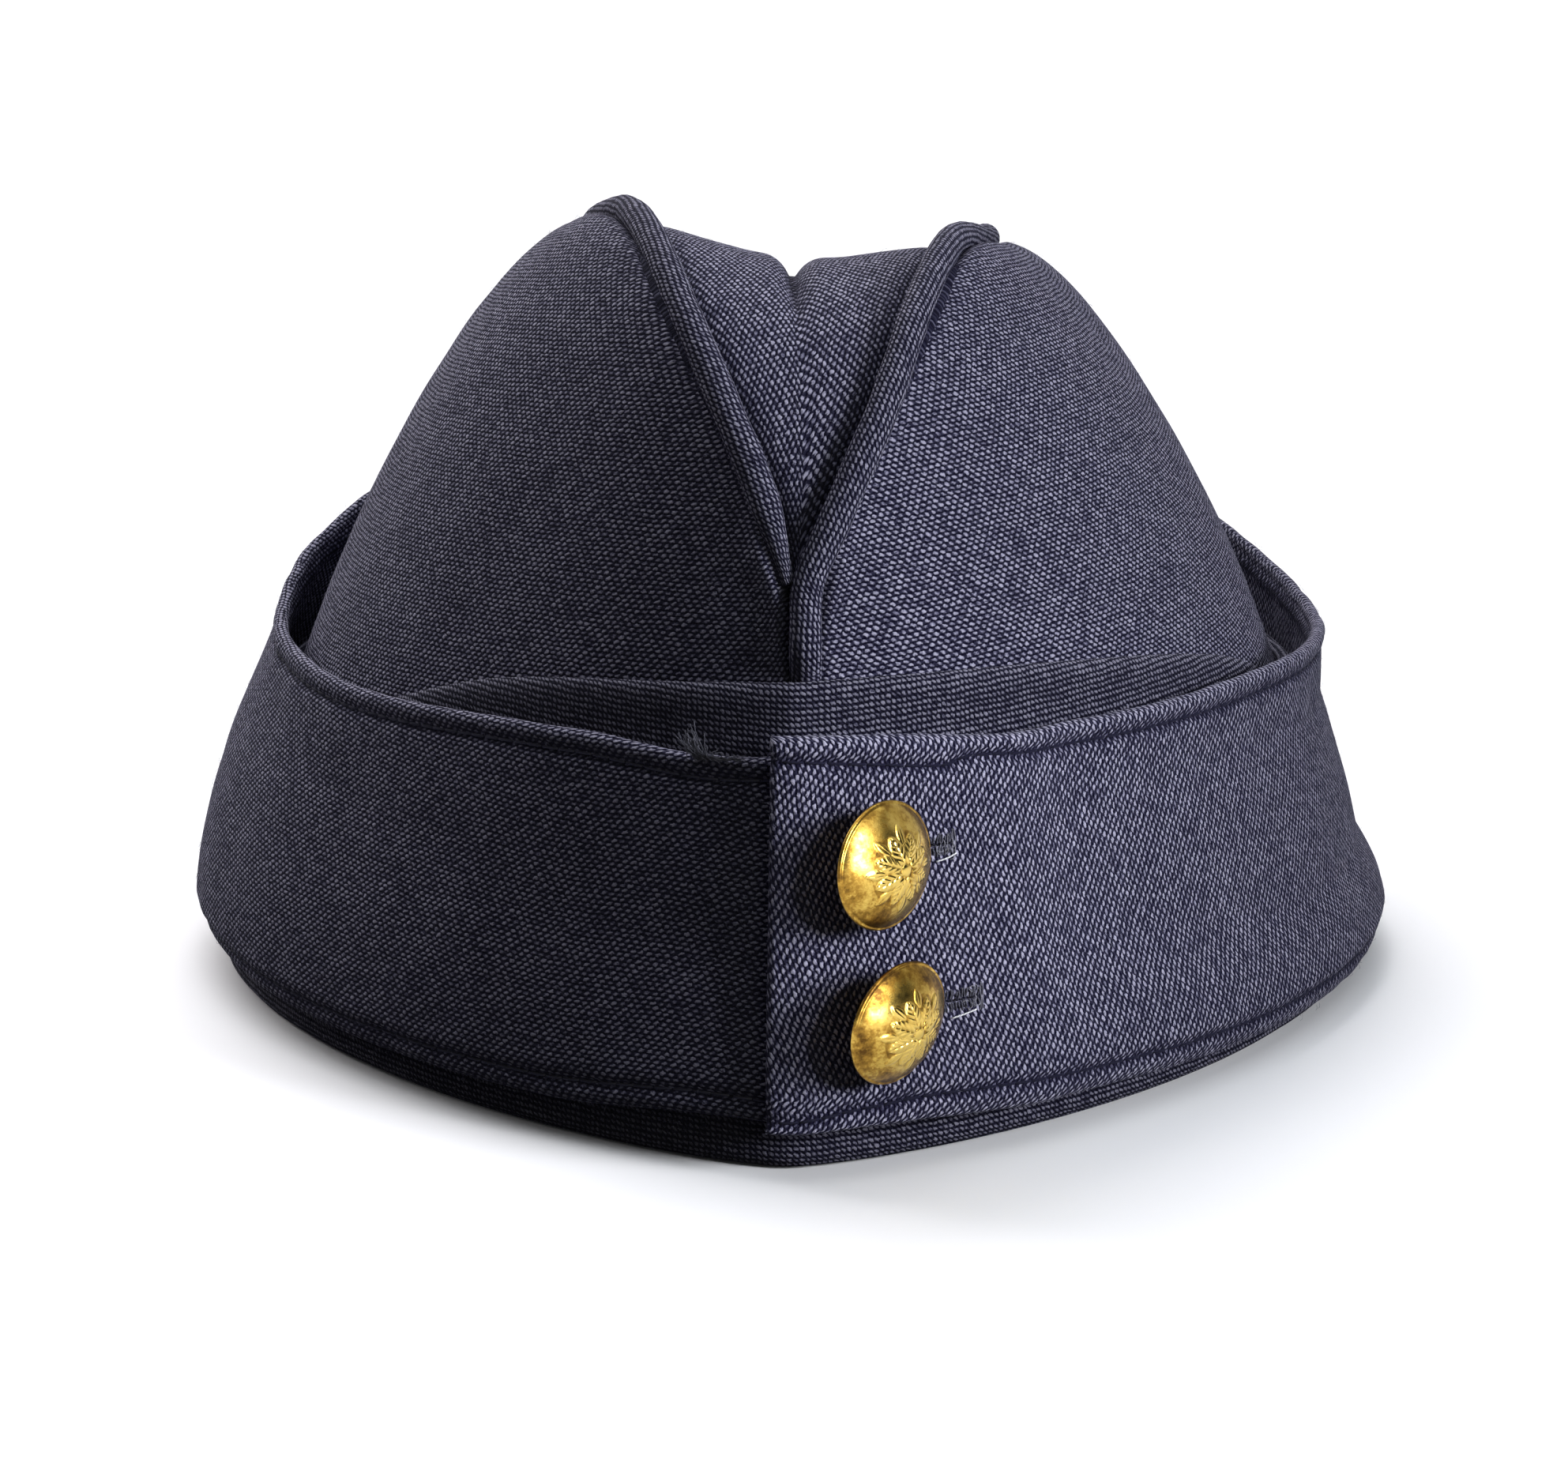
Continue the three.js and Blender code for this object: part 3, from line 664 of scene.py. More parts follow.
def apply_modifier(piece, kind, **settings):
    """Adds a modifier with its settings and applies it."""
    modifier = piece.modifiers.new(kind.lower(), kind)
    for setting, value in settings.items():
        setattr(modifier, setting, value)
    bpy.context.view_layer.objects.active = piece
    bpy.ops.object.modifier_apply(modifier=modifier.name)


def merge_close():
    """Joins points of the active piece that lie on each other."""
    bpy.ops.object.mode_set(mode="EDIT")
    bpy.ops.mesh.select_all(action="SELECT")
    bpy.ops.mesh.remove_doubles(threshold=MERGE_WITHIN * MM)
    bpy.ops.object.mode_set(mode="OBJECT")


def by_vertex(points):
    """Places of a grid of points in metres, in the order of the grid primitive's points."""
    return ((points + FORWARD) * MM).transpose(1, 0, 2).ravel()


def grid_piece(name, points, place, wear_and_painted_light):
    """Grid primitive whose points are moved to their places, with a UV map in millimetres and an attribute
    of rubbed edges and painted light and shade.
    """
    columns, rows = points.shape[:2]
    bpy.ops.object.select_all(action="DESELECT")
    bpy.ops.mesh.primitive_grid_add(x_subdivisions=columns - 1, y_subdivisions=rows - 1)
    piece = bpy.context.object
    piece.name = piece.data.name = name
    mesh = piece.data
    mesh.vertices.foreach_set("co", by_vertex(points))
    corner = np.empty(len(mesh.loops), int)
    mesh.loops.foreach_get("vertex_index", corner)
    mesh.uv_layers[0].name = WEAVE_MAP
    flat_place = place.transpose(1, 0, 2).reshape(-1, 2)
    mesh.uv_layers[WEAVE_MAP].uv.foreach_set("vector", flat_place[corner].ravel())
    mesh.attributes.new(WEAR_AND_LIGHT_MAP, "FLOAT", "POINT").data.foreach_set("value", wear_and_painted_light.T.ravel())
    mesh.update()
    return piece


def turned(along, up, degrees):
    """Place on the cloth with its grain turned."""
    s, c = math.sin(math.radians(degrees)), math.cos(math.radians(degrees))
    return np.stack([along * c - up * s, along * s + up * c], axis=-1)


print("grid pieces: points closer than", MERGE_WITHIN, "mm are merged")

# %% Cloth pieces
sheets = {}


def settle_inner_face(mesh):
    """Moves the points that Solidify added to the places kept for the inner face."""
    at, inner = np.empty(len(mesh.vertices) * 3), np.empty(len(mesh.vertices) * 3)
    mesh.vertices.foreach_get("co", at)
    mesh.attributes[INNER_MAP].data.foreach_get("vector", inner)
    half = len(at) // 2
    at[half:] = inner[half:]
    mesh.vertices.foreach_set("co", at)
    mesh.attributes.remove(mesh.attributes[INNER_MAP])
    mesh.update()


def cloth_piece(node, points, thick, shape, grain, material, hand=1, joined=False):
    """Sheet of cloth through points on its outer face, with relief added and its thickness inside."""
    along, up = runs_over(points)
    relief, wear_and_painted_light = shape(points, along, up)
    points = points + facing_of(points) * relief[..., None]
    facing = facing_of(points)
    if joined:
        facing[0] = facing[-1] = unit(facing[0] + facing[-1])
    outer = points - facing * (CLOTH / 2 * (1 - thick))[..., None]
    inner = points - facing * (CLOTH / 2 * (1 + thick))[..., None]
    cloth_along, cloth_up = runs_over(outer)
    middle = len(cloth_along) // 2
    place = turned(hand * (cloth_along - cloth_along[middle]), cloth_up, grain)
    piece = grid_piece(f"{node}_cloth", outer, place, wear_and_painted_light)
    kept = piece.data.attributes.new(INNER_MAP, "FLOAT_VECTOR", "POINT")
    kept.data.foreach_set("vector", by_vertex(inner))
    if joined:
        merge_close()
    apply_modifier(piece, "SOLIDIFY", thickness=CLOTH * MM, offset=-1)
    settle_inner_face(piece.data)
    bpy.ops.object.shade_smooth()
    piece.data.materials.append(material)
    sheets[node] = {"points": points, "facing": facing, "up": up}
    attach(piece, "root")
    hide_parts(node)
    return piece


print("cloth pieces:", CLOTH, "mm thick")

# %% [markdown]
# ## Crown sides
# Each side is one curved wall from the rim to its seam. It could be sculpted, but a formula from rim to
# seam keeps it true to the solid. On the real cap the cloth rolls into the seam, so it puffs up a few
# millimetres away from the cord and dips right beside it. The same roll runs down the front, where the
# sides meet. The two sides are cut as mirror images, so the weave leans the other way on the right.

# %% Make the crown sides
CROWN_COLUMNS, CROWN_ROWS = 190, 96
CROWN_LONG, CROWN_TALL = 262, 112
SEAM_SHARE = 0.985
MIDDLE_CLEAR = {"left": 0.2, "right": 1.6}
CROWN_GRAIN = {"left": -3, "right": 3}
CROWN_WAVES = (0.5, 34, 0), (0.14, 9, 3)
PUFF_AWAY, PUFF_WIDTH = 7, 5
SEAM_ROLL = (0.9, 2.0, 3.0)
FRONT_ROLL = {"left": (1.5, 1.5, 1.7), "right": (0.9, 1.4, 3.2)}
SEAM_SHADE, FRONT_SHADE = 2.6, 1.6


def seam_roll(distance, puff, dip, wide):
    """Cloth that rolls into a seam: a dip at the seam and a soft puff beside it."""
    return puff * near(distance - PUFF_AWAY, PUFF_WIDTH) - dip * near(distance, wide)


for side, turn in TURN.items():
    shares, thick_along = steps_with_round_ends(CROWN_COLUMNS, CROWN_LONG)
    margin = angle_at(MIDDLE_CLEAR[side]) / np.pi
    shares = (margin + shares * (1 - 2 * margin))[::turn]
    ups, thick_up = steps_with_round_ends(CROWN_ROWS, CROWN_TALL)
    wall = crown_wall(side, *np.meshgrid(shares, ups * SEAM_SHARE, indexing="ij"))

    def crown_shape(points, along, up):
        """Relief of a crown side, and painted shade along its seam and, on the right side, along its front
        edge.
        """
        from_seam = up[:, -1:] - up
        from_middle = np.minimum(along, along[-1:] - along)
        roll = np.minimum(seam_roll(from_seam, *SEAM_ROLL), seam_roll(from_middle, *FRONT_ROLL[side]))
        front = near(from_middle, FRONT_SHADE) if side == "right" else 0
        return roll + wrinkles(points, CROWN_WAVES, turn), -np.maximum(near(from_seam, SEAM_SHADE), front)

    cloth_piece(
        f"crown_{side}", wall, np.minimum.outer(thick_along, thick_up), crown_shape,
        CROWN_GRAIN[side], wool_cloth, hand=-turn)

# %% [markdown]
# ## Gusset
# The strip between the seams sinks along the middle and folds there into a sharp crease with soft lips.
# The crease could be an edge with a bevel, but a real one fades out towards the front and the back, so
# the sheet is drawn in by a soft formula whose strength changes along it. At both sides the strip runs
# down under the cords.

# %% Place the strip of the gusset
GUSSET_COLUMNS, GUSSET_ROWS = 150, 72
GUSSET_LONG, GUSSET_WIDE = 215, 48
GUSSET_EDGE, INSET_MOST = 0.7, 0.4
GUSSET_APART = 1.8
CREASE_SHARE = 0.75
SEAM_READINGS = np.linspace(0, 1, 401)
seams_apart = length_of(seam_path["left"](SEAM_READINGS) - seam_path["right"](SEAM_READINGS))


def parted(apart):
    """First and last share of the seams where they are further apart than this."""
    return SEAM_READINGS[seams_apart > apart][[0, -1]]


gusset_from, gusset_to = parted(GUSSET_APART)
shares, thick_along = steps_with_round_ends(GUSSET_COLUMNS, GUSSET_LONG)
across, thick_across = steps_with_round_ends(GUSSET_ROWS, GUSSET_WIDE)
a, b = np.meshgrid(gusset_from + shares * (gusset_to - gusset_from), 1 - across, indexing="ij")
left_seam, right_seam = seam_path["left"](a), seam_path["right"](a)
strip_width = length_of(right_seam - left_seam)
inset = np.minimum(GUSSET_EDGE / strip_width, INSET_MOST)
b = inset + b * (1 - 2 * inset)
strip = left_seam + (right_seam - left_seam) * b[..., None]
strip[..., 2] -= smooth(CREASE, "along", "depth", a) * CREASE_SHARE * (1 - np.abs(2 * b - 1))
print(f"gusset: up to {strip_width.max():.0f} mm wide")

# %% Make the gusset
GUSSET_WAVES = (0.3, 22, 7), (0.1, 7, 9)
CREASE_SHARP, CREASE_WIDTH = 2.4, 1.0
CREASE_STARTS, CREASE_ENDS = (0.15, 0.27), (0.86, 0.97)
LIP_HIGH, LIP_AWAY, LIP_WIDTH = 0.3, 3.4, 2.0
SINK_DEEP, SINK_WIDTH, SINK_STARTS = 2.0, 2.7, (2, 9)
SINK_SHADE = 3.1
CREASE_SHADE, CREASE_SHADE_WIDTH = 0.8, 0.9
from_crease = np.abs(b - 0.5) * strip_width
sharp = smoothstep(*CREASE_STARTS, a) * (1 - smoothstep(*CREASE_ENDS, a))


def gusset_shape(points, along, up):
    """Relief of the gusset, and painted shade along its seams and in its crease."""
    from_seam = np.minimum(b, 1 - b) * strip_width
    lips = LIP_HIGH * near(from_crease - LIP_AWAY, LIP_WIDTH)
    fold = lips - CREASE_SHARP * np.exp(-from_crease / CREASE_WIDTH)
    sink = SINK_DEEP * near(from_seam, SINK_WIDTH) * smoothstep(*SINK_STARTS, strip_width)
    shade = CREASE_SHADE * sharp * near(from_crease, CREASE_SHADE_WIDTH)
    return sharp * fold - sink + wrinkles(points, GUSSET_WAVES), -near(from_seam, SINK_SHADE) - shade


cloth_piece(
    "crown_gusset", strip, np.minimum.outer(thick_along, thick_across), gusset_shape, 0, wool_cloth)

# %% [markdown]
# ## Corded welts
# A strip of cloth cut on the bias is sewn round a cord and into each crown seam, so the weave runs round
# it at a slant. A curve with a round bevel would give the tube, but not the slant, so a grid is rolled
# round the seam and its UV map turned. The right welt goes on down the front and back to the band. The
# left one thins out where the seams fork and goes in under the right one.

# %% Path of the welts
CORD_RAISE, CORD_SUNK = 0.9, -1.7
CORD_POINTS = 31
CORDS_APART = 2.0
CROWN_MIDDLE = np.array([0, 0, 50])
FORK_X, FORK_BELOW = 2.0, 3
BAND_PASSES = np.array([-4, -1, 4])
cord_from, cord_to = parted(CORDS_APART)


def cord_line(side):
    """Points that the middle of a welt follows, from front to back."""
    points = seam_path[side](np.linspace(cord_from, cord_to, CORD_POINTS))
    points = points + unit(points - CROWN_MIDDLE) * CORD_RAISE
    if side == "left":
        return points
    below = []
    for angle, fork in ((0.0, SEAMS["right_z"][0]), (np.pi, SEAMS["right_z"][-1])):
        band_edge = smooth(BAND_TOP, "angle", "right", np.array([np.degrees(angle)]))[0]
        heights = np.append(band_edge + BAND_PASSES, fork - FORK_BELOW)
        raise_by = np.array([CORD_SUNK, CORD_SUNK, CORD_RAISE, CORD_RAISE])
        at = over_rim(np.full(len(heights), angle), crown_out(angle, heights) + raise_by, heights)
        at[:, 0] = FORK_X
        below.append(at)
    return np.concatenate([below[0], points, below[1][::-1]])


print("points of the welts:", {side: len(cord_line(side)) for side in TURN})

# %% Make the welts
CORD_COLUMNS, CORD_AROUND = 460, 20
CORD_TAPER, CORD_TIP = 0.05, 0.4
CORD_LUMPS = ((0.06, 5, 11),)
CORD_GRAIN = 42
CORD_SHADE = (0.2, 0.9)

for side in TURN:
    shares = np.linspace(0, 1, CORD_COLUMNS)
    line = even_path(cord_line(side))(shares)
    tangent = unit(np.gradient(line, axis=0))
    outward = square_to(line - CROWN_MIDDLE, tangent)
    sideways = np.cross(tangent, outward)
    full = np.ones(CORD_COLUMNS)
    if side == "left":
        full = CORD_TIP + (1 - CORD_TIP) * smoothstep(0, CORD_TAPER, np.minimum(shares, 1 - shares))
    run = run_along(line)
    lumps = 1 + wrinkles(line[:, None], CORD_LUMPS)[:, 0]
    around = np.linspace(-np.pi, np.pi, CORD_AROUND + 1)
    radius = (CORD_RADIUS * full * lumps)[:, None, None]
    c, s = np.cos(around)[None, :, None], np.sin(around)[None, :, None]
    tube = line[:, None] + radius * (outward[:, None] * c + sideways[:, None] * s)
    cloth_at = turned(*np.meshgrid(run, CORD_RADIUS * around, indexing="ij"), CORD_GRAIN)
    # Painted shade: the side of each cord that turns in towards the crown is painted darker, where it meets
    # the cloth.
    cord_inner_shade = np.broadcast_to(-smoothstep(*CORD_SHADE, -np.cos(around)), tube.shape[:2])
    piece = grid_piece(f"welt_{side}_cord", tube, cloth_at, cord_inner_shade)
    merge_close()
    bpy.ops.object.mode_set(mode="EDIT")
    bpy.ops.mesh.select_all(action="DESELECT")
    bpy.ops.mesh.select_non_manifold()
    bpy.ops.mesh.edge_face_add()
    bpy.ops.mesh.select_all(action="SELECT")
    bpy.ops.mesh.normals_make_consistent(inside=False)
    bpy.ops.object.mode_set(mode="OBJECT")
    bpy.ops.object.shade_smooth()
    piece.data.materials.append(wool_bias)
    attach(piece, "root")
    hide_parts(f"welt_{side}")
    print(f"{piece.name}: {run[-1]:.0f} mm long, {len(piece.data.polygons)} faces")

# %% [markdown]
# ## Turned-up band
# The band is cut on the bias too, so it can follow the crown. It turns in under the crown's edge at the
# hem, which the cap stands on, and its top edge is a soft fold that dips behind the flaps at the sides.
# A strip could be shrunk on to the crown with a modifier, but the hem has to turn under, so each row is
# placed by its distance from the hem's inner edge.

# %% Place the band
BAND_COLUMNS, BAND_ROWS = 380, 46
BAND_TALL = 60
HEM_IN, HEM_TURN = 3.0, 1.6
angles = angle_by_share(-np.pi, np.pi, np.linspace(0, 1, BAND_COLUMNS))
degrees = np.degrees(np.abs(angles))
band_top = np.where(
    angles > 0, smooth(BAND_TOP, "angle", "right", degrees), smooth(BAND_TOP, "angle", "left", degrees))
ups, thick_up = steps_with_round_ends(BAND_ROWS, BAND_TALL)
rows = ups[None, :] * (band_top[:, None] - HEM_TURN + HEM_IN + HEM_TURN * np.pi / 2)
turn_in = np.clip((rows - HEM_IN) / HEM_TURN, 0, np.pi / 2)
risen = np.maximum(rows - HEM_IN - HEM_TURN * np.pi / 2, 0)
height = HEM_TURN * (1 - np.cos(turn_in)) + risen
wall_out = crown_out(angles[:, None], np.maximum(height, CROWN_FOOT))
band_out = LAYER + np.where(risen > 0, wall_out, -HEM_TURN * (1 - np.sin(turn_in)))
band_face = over_rim(np.repeat(angles[:, None], rows.shape[1], axis=1), band_out, 0)
band_face[..., :2] *= 1 - (np.maximum(HEM_IN - rows, 0) / HALF_WIDTH)[..., None]
band_face[..., 2] = height
print(f"band: {height.max():.1f} mm high at the front")

# %% Make the band
BAND_GRAIN = 45
BAND_WAVES = (0.35, 26, 15), (0.1, 8, 17)
HEM_FLAT = (4, 12)
FOLD_ROLL, FOLD_AWAY, FOLD_WIDTH = 0.35, 2.5, 2
BAND_PRESSED = 0.25
FOLD_HIGHLIGHT, FOLD_HIGHLIGHT_WIDTH = 0.8, 1.2


def band_shape(points, along, up):
    """Relief of the band, and a painted highlight along the top of its fold."""
    from_top = up[:, -1:] - up
    roll = FOLD_ROLL * near(from_top - FOLD_AWAY, FOLD_WIDTH)
    relief = smoothstep(*HEM_FLAT, up) * (wrinkles(points, BAND_WAVES) + roll - BAND_PRESSED)
    return relief, FOLD_HIGHLIGHT * near(from_top, FOLD_HIGHLIGHT_WIDTH)


cloth_piece(
    "turn_up_band", band_face, np.broadcast_to(thick_up, rows.shape), band_shape, BAND_GRAIN, wool_band,
    joined=True)

# %% [markdown]
# ## Flaps
# The two flaps fold up over the band and stand a little away from the crown at the back. The right one
# laps over the left. Two copies of one sheet would do for a new cap, but a worn one hangs differently at
# each side, so each flap has its own table. Their edges are turned in and top-stitched, so a soft roll
# runs along each edge with a groove inside it.

# %% Shape of the flaps
LAP_STARTS = 1


def flap_column(side, angle, column):
    """One measure of a flap's table, at angles from the front."""
    return smooth(FLAP_SHAPE[side], "angle", column, np.degrees(np.abs(angle)))


def flap_edges(side, angle):
    """Heights of a flap's lower and top edge."""
    return [flap_column(side, angle, column) for column in ("low", "top")]


def flap_out(side, angle, height):
    """How far out a flap lies: where its own shape puts it, or further, clear of the band."""
    low, top = flap_edges(side, angle)
    profile = np.stack([flap_column(side, angle, column) for column in ("foot", "bulge", "waist", "lip")])
    own = smooth_through(FLAP_SHARES, profile, np.clip((height - low) / (top - low), 0, 1))
    return np.maximum(own, crown_out(angle, height) + 2 * LAYER)


def flap_face(side, angle, share):
    """Outer face of a flap, from its lower edge, where share is 0, to its top."""
    low, top = flap_edges(side, angle)
    height = low + (top - low) * share
    out = flap_out(side, angle, height)
    if side == "right":
        over_left = np.maximum(out, flap_out("left", np.abs(angle), height) + LAYER)
        lap_from, lap_to = (angle_at(FLAP_FRONT["left"] + past) for past in (LAP_STARTS, LAP_FADE))
        out = over_left + (out - over_left) * smoothstep(lap_from, lap_to, angle)
    return over_rim(angle, out, height)


for side in TURN:
    low, top = flap_edges(side, np.array([0.0]))
    print(f"flap_{side}: from {low[0]:.1f} to {top[0]:.1f} mm up at the front")

# %% Stitch lines and relief of the flaps
TOP_STITCH = {
    "left": table("x below", (-90, 3.2), (-40, 3.0), (-10, 3.1), (26, 3.1)),
    "right": table("x below", (-3, 3.3), (12, 3.9), (21.5, 4.1), (25.5, 2.8), (40, 3.0), (90, 3.2)),
}
LOW_STITCH = {
    "left": table("x above", (-90, 3.0), (-30, 3.2), (26, 3.0)),
    "right": table("x above", (-3, 1.7), (12, 3.0), (22, 3.7), (40, 3.8), (90, 3.6)),
}
STITCH_GROOVE, GROOVE_WIDTH, GROOVE_SHADE = 0.55, 0.6, 0.9
EDGE_ROLL, ROLL_SHARE = 0.35, 2.4
FLAP_WAVES, WAVES_START = ((0.45, 30, 25), (0.14, 9, 27)), (-1, 9)
PUCKER_HIGH, PUCKER_SIZE, PUCKER_SEED, PUCKER_REACH = 0.2, 4.5, 21, 9
TOP_RUBBED, TOP_RUBBED_WIDTH = 0.7, 1.1
LOW_RUBBED, LOW_RUBBED_WIDTH = 0.3, 1.0


def stitch_lines(side, points):
    """How far below the top edge and above the lower one a flap is stitched, for each grid column."""
    x = points[:, :1, 0]
    return smooth(TOP_STITCH[side], "x", "below", x), smooth(LOW_STITCH[side], "x", "above", x)


def sewn_edges(side, points, up):
    """Relief that sewing and use give to a flap, with lighter rubbed edges and painted shade in the stitch
    grooves.
    """
    from_top, from_low = up[:, -1:] - up, up
    below, above = stitch_lines(side, points)
    groove = near(from_top - below, GROOVE_WIDTH) + near(from_low - above, GROOVE_WIDTH)
    roll = near(from_top - below / 2, below / ROLL_SHARE) + near(from_low - above / 2, above / ROLL_SHARE)
    at_edges = near(from_top, PUCKER_REACH) + near(from_low, PUCKER_REACH)
    puckers = at_edges * wander(points, PUCKER_SIZE, PUCKER_SEED + TURN[side])
    waves = wrinkles(points, FLAP_WAVES, TURN[side]) * smoothstep(*WAVES_START, from_low)
    relief = EDGE_ROLL * roll - STITCH_GROOVE * groove + PUCKER_HIGH * puckers + waves
    rubbed = TOP_RUBBED * near(from_top, TOP_RUBBED_WIDTH) + LOW_RUBBED * near(from_low, LOW_RUBBED_WIDTH)
    return relief, rubbed - GROOVE_SHADE * groove


print("top-stitch below the edge, mm:", {side: rows["below"].tolist() for side, rows in TOP_STITCH.items()})

# %% Make the flaps
FLAP_COLUMNS, FLAP_ROWS = 290, 62
FLAP_LONG, FLAP_TALL = 300, 50
FLAP_GRAIN = {"left": 4, "right": 94}
FLAP_FOOT, FOOT_REACH = 4.8, 3
SIDE_TUCK, SIDE_STARTS = 0.85, (60, 100)
BACK_MARGIN, BACK_CLEAR, BACK_DRAW = 0.1, 0.05, 5
BUTTON_SEATS = {"button_upper": (7.8, 42.0), "button_lower": (8.8, 21.7)}
SEAT_PRESS, SEAT_WIDTH = 0.7, 8

flap = {}
for side, turn in TURN.items():
    shares, thick_along = steps_with_round_ends(FLAP_COLUMNS, FLAP_LONG)
    front, back = angle_at(FLAP_FRONT[side]), turn * (np.pi - angle_at(BACK_MARGIN))
    angles = angle_by_share(front, back, shares)[::turn]
    ups, thick_up = steps_with_round_ends(FLAP_ROWS, FLAP_TALL)
    face = flap_face(side, *np.meshgrid(angles, ups, indexing="ij"))
    back_column = face[-1 if side == "right" else 0, :, 0]
    from_back = length_of(rim(angles)[0] - rim(np.array([np.pi]))[0])
    face[..., 0] -= (back_column - turn * BACK_CLEAR) * near(from_back, BACK_DRAW)[:, None]

    def flap_shape(points, along, up):
        """Relief, rubbed edges and painted groove shade of a flap, tucked in at the side or pressed in by
        the buttons.
        """
        relief, wear_and_painted_light = sewn_edges(side, points, up)
        if side == "left":
            tuck = SIDE_TUCK * smoothstep(*SIDE_STARTS, np.degrees(np.abs(angles)))
            foot = flap_column(side, angles, "foot") + tuck
            relief -= (foot - FLAP_FOOT)[:, None] * near(up, FOOT_REACH)
        else:
            for seat_x, seat_z in BUTTON_SEATS.values():
                away = np.hypot(points[..., 0] - seat_x, points[..., 2] - seat_z)
                relief -= SEAT_PRESS * near(away, SEAT_WIDTH) * (points[..., 1] < 0)
        return relief, wear_and_painted_light

    flap[side] = cloth_piece(
        f"flap_{side}", face, np.minimum.outer(thick_along[::turn], thick_up), flap_shape,
        FLAP_GRAIN[side], wool_cloth, hand=-turn)

# %% [markdown]
# ## Stitching
# Stitches, buttonhole threads and loose fibres are all thin threads. Each could be a curve with a bevel,
# but there are thousands, so one helper makes many threads at once as a single mesh: each thread is a
# row of points with a small tube round it. The top-stitch lies pressed into its groove, so each stitch
# dives into the cloth at both ends.

# %% Thread material
TWIST = {"Scale": 1.2, "Distortion": 0.6, "Detail": 1.0}
TWIST_SHADE, TWIST_ROUGHER = 0.55, 0.1
DARK_AT, LIGHT_AT = 0.2, 0.8


def thread_material(name, color, rough):
    """Twisted thread along its own UV map, with painted shade in the grooves between its turns."""
    material, tree, shader = new_material(name, Specular_IOR_Level=0.15)
    along = add_node(tree, "ShaderNodeUVMap", uv_map=WEAVE_MAP).outputs[0]
    wave = add_node(tree, "ShaderNodeTexWave", {"Vector": along, **TWIST}, bands_direction="DIAGONAL")
    twist = wave.outputs["Fac"]
    dark = tuple(TWIST_SHADE * part for part in color)
    feed(tree, shader.inputs["Base Color"], ramp(tree, twist, ((DARK_AT, dark), (LIGHT_AT, color))))
    feed(tree, shader.inputs["Roughness"], calc(tree, "MULTIPLY_ADD", twist, TWIST_ROUGHER, rough))
    return material


navy_thread = thread_material("navy_thread", (0.008, 0.008, 0.024), 0.75)
print("thread:", navy_thread.name)

# %% Thread pieces
STEEP = 0.8


def thread_tubes(strands, radius, sides):
    """Rings of points round the points of each thread."""
    tangent = unit(np.gradient(strands, axis=1))
    upright = np.where(np.abs(tangent[..., 2:]) < STEEP, (0.0, 0.0, 1.0), (1.0, 0.0, 0.0))
    aside = unit(np.cross(upright, tangent))
    above = np.cross(tangent, aside)
    turn = np.arange(sides) / sides * 2 * np.pi
    ring = aside[:, :, None] * np.cos(turn)[:, None] + above[:, :, None] * np.sin(turn)[:, None]
    return strands[:, :, None] + ring * radius


def thread_piece(name, strands, radius, sides, material):
    """Many threads as one mesh. strands has a row of points for each thread, in millimetres."""
    count, steps = strands.shape[:2]
    step, side = np.arange(steps - 1)[:, None], np.arange(sides)[None, :]
    corners = ((0, 0), (0, 1), (1, 1), (1, 0))
    quads = np.stack([(step + i) * sides + (side + j) % sides for i, j in corners], axis=-1).reshape(-1, 4)
    caps = np.stack([np.arange(sides)[::-1], (steps - 1) * sides + np.arange(sides)])
    first = (np.arange(count) * steps * sides)[:, None, None]
    faces = (quads + first).reshape(-1, 4).tolist() + (caps + first).reshape(-1, sides).tolist()
    mesh = bpy.data.meshes.new(name)
    tubes = thread_tubes(strands, radius, sides)
    mesh.from_pydata(((tubes + FORWARD) * MM).reshape(-1, 3).tolist(), [], faces)
    run = np.zeros((count, steps))
    run[:, 1:] = np.cumsum(length_of(np.diff(strands, axis=1)), axis=1)
    u = np.stack([np.repeat(run[:, i:steps - 1 + i, None], sides, axis=2) for i, j in corners], axis=-1)
    v = np.stack([np.broadcast_to((side + j) / sides, (steps - 1, sides)) for i, j in corners], axis=-1)
    places = np.stack([u, np.broadcast_to(v, u.shape)], axis=-1).reshape(-1, 2)
    ends = np.zeros((caps.size * count, 2))
    mesh.uv_layers.new(name=WEAVE_MAP).uv.foreach_set("vector", np.concatenate([places, ends]).ravel())
    mesh.shade_smooth()
    mesh.materials.append(material)
    piece = bpy.data.objects.new(name, mesh)
    bpy.context.scene.collection.objects.link(piece)
    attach(piece, "root")
    print(f"{name}: {count} threads, {len(faces)} faces")


print("thread helper ready")

# %% Top-stitch the flaps
STITCH_PITCH, STITCH_LENGTH, STITCH_RADIUS, STITCH_SIDES = 2.8, 2.6, 0.2, 6
STITCH_FROM_END, STITCH_UNEVEN = 3.0, 0.15
STITCH_STEPS = np.array([-0.5, -0.44, -0.22, 0.22, 0.44, 0.5])
STITCH_LIFT = np.array([-0.4, -0.05, 0.05, 0.05, -0.05, -0.4])
rng = np.random.default_rng(12)


def line_on(node, distance, from_top):
    """Points and directions on a sheet, a distance from its top or lower edge, one for each column."""
    sheet = sheets[node]
    reach = sheet["up"][:, -1:] - sheet["up"] if from_top else sheet["up"]
    order = -1 if from_top else 1
    rows = np.array([
        np.interp(far, column[::order], np.arange(len(column))[::order])
        for far, column in zip(distance, reach)])
    low, columns = rows.astype(int), np.arange(len(rows))
    share = (rows - low)[:, None]
    return [
        sheet[key][columns, low] * (1 - share) + sheet[key][columns, low + 1] * share
        for key in ("points", "facing")]


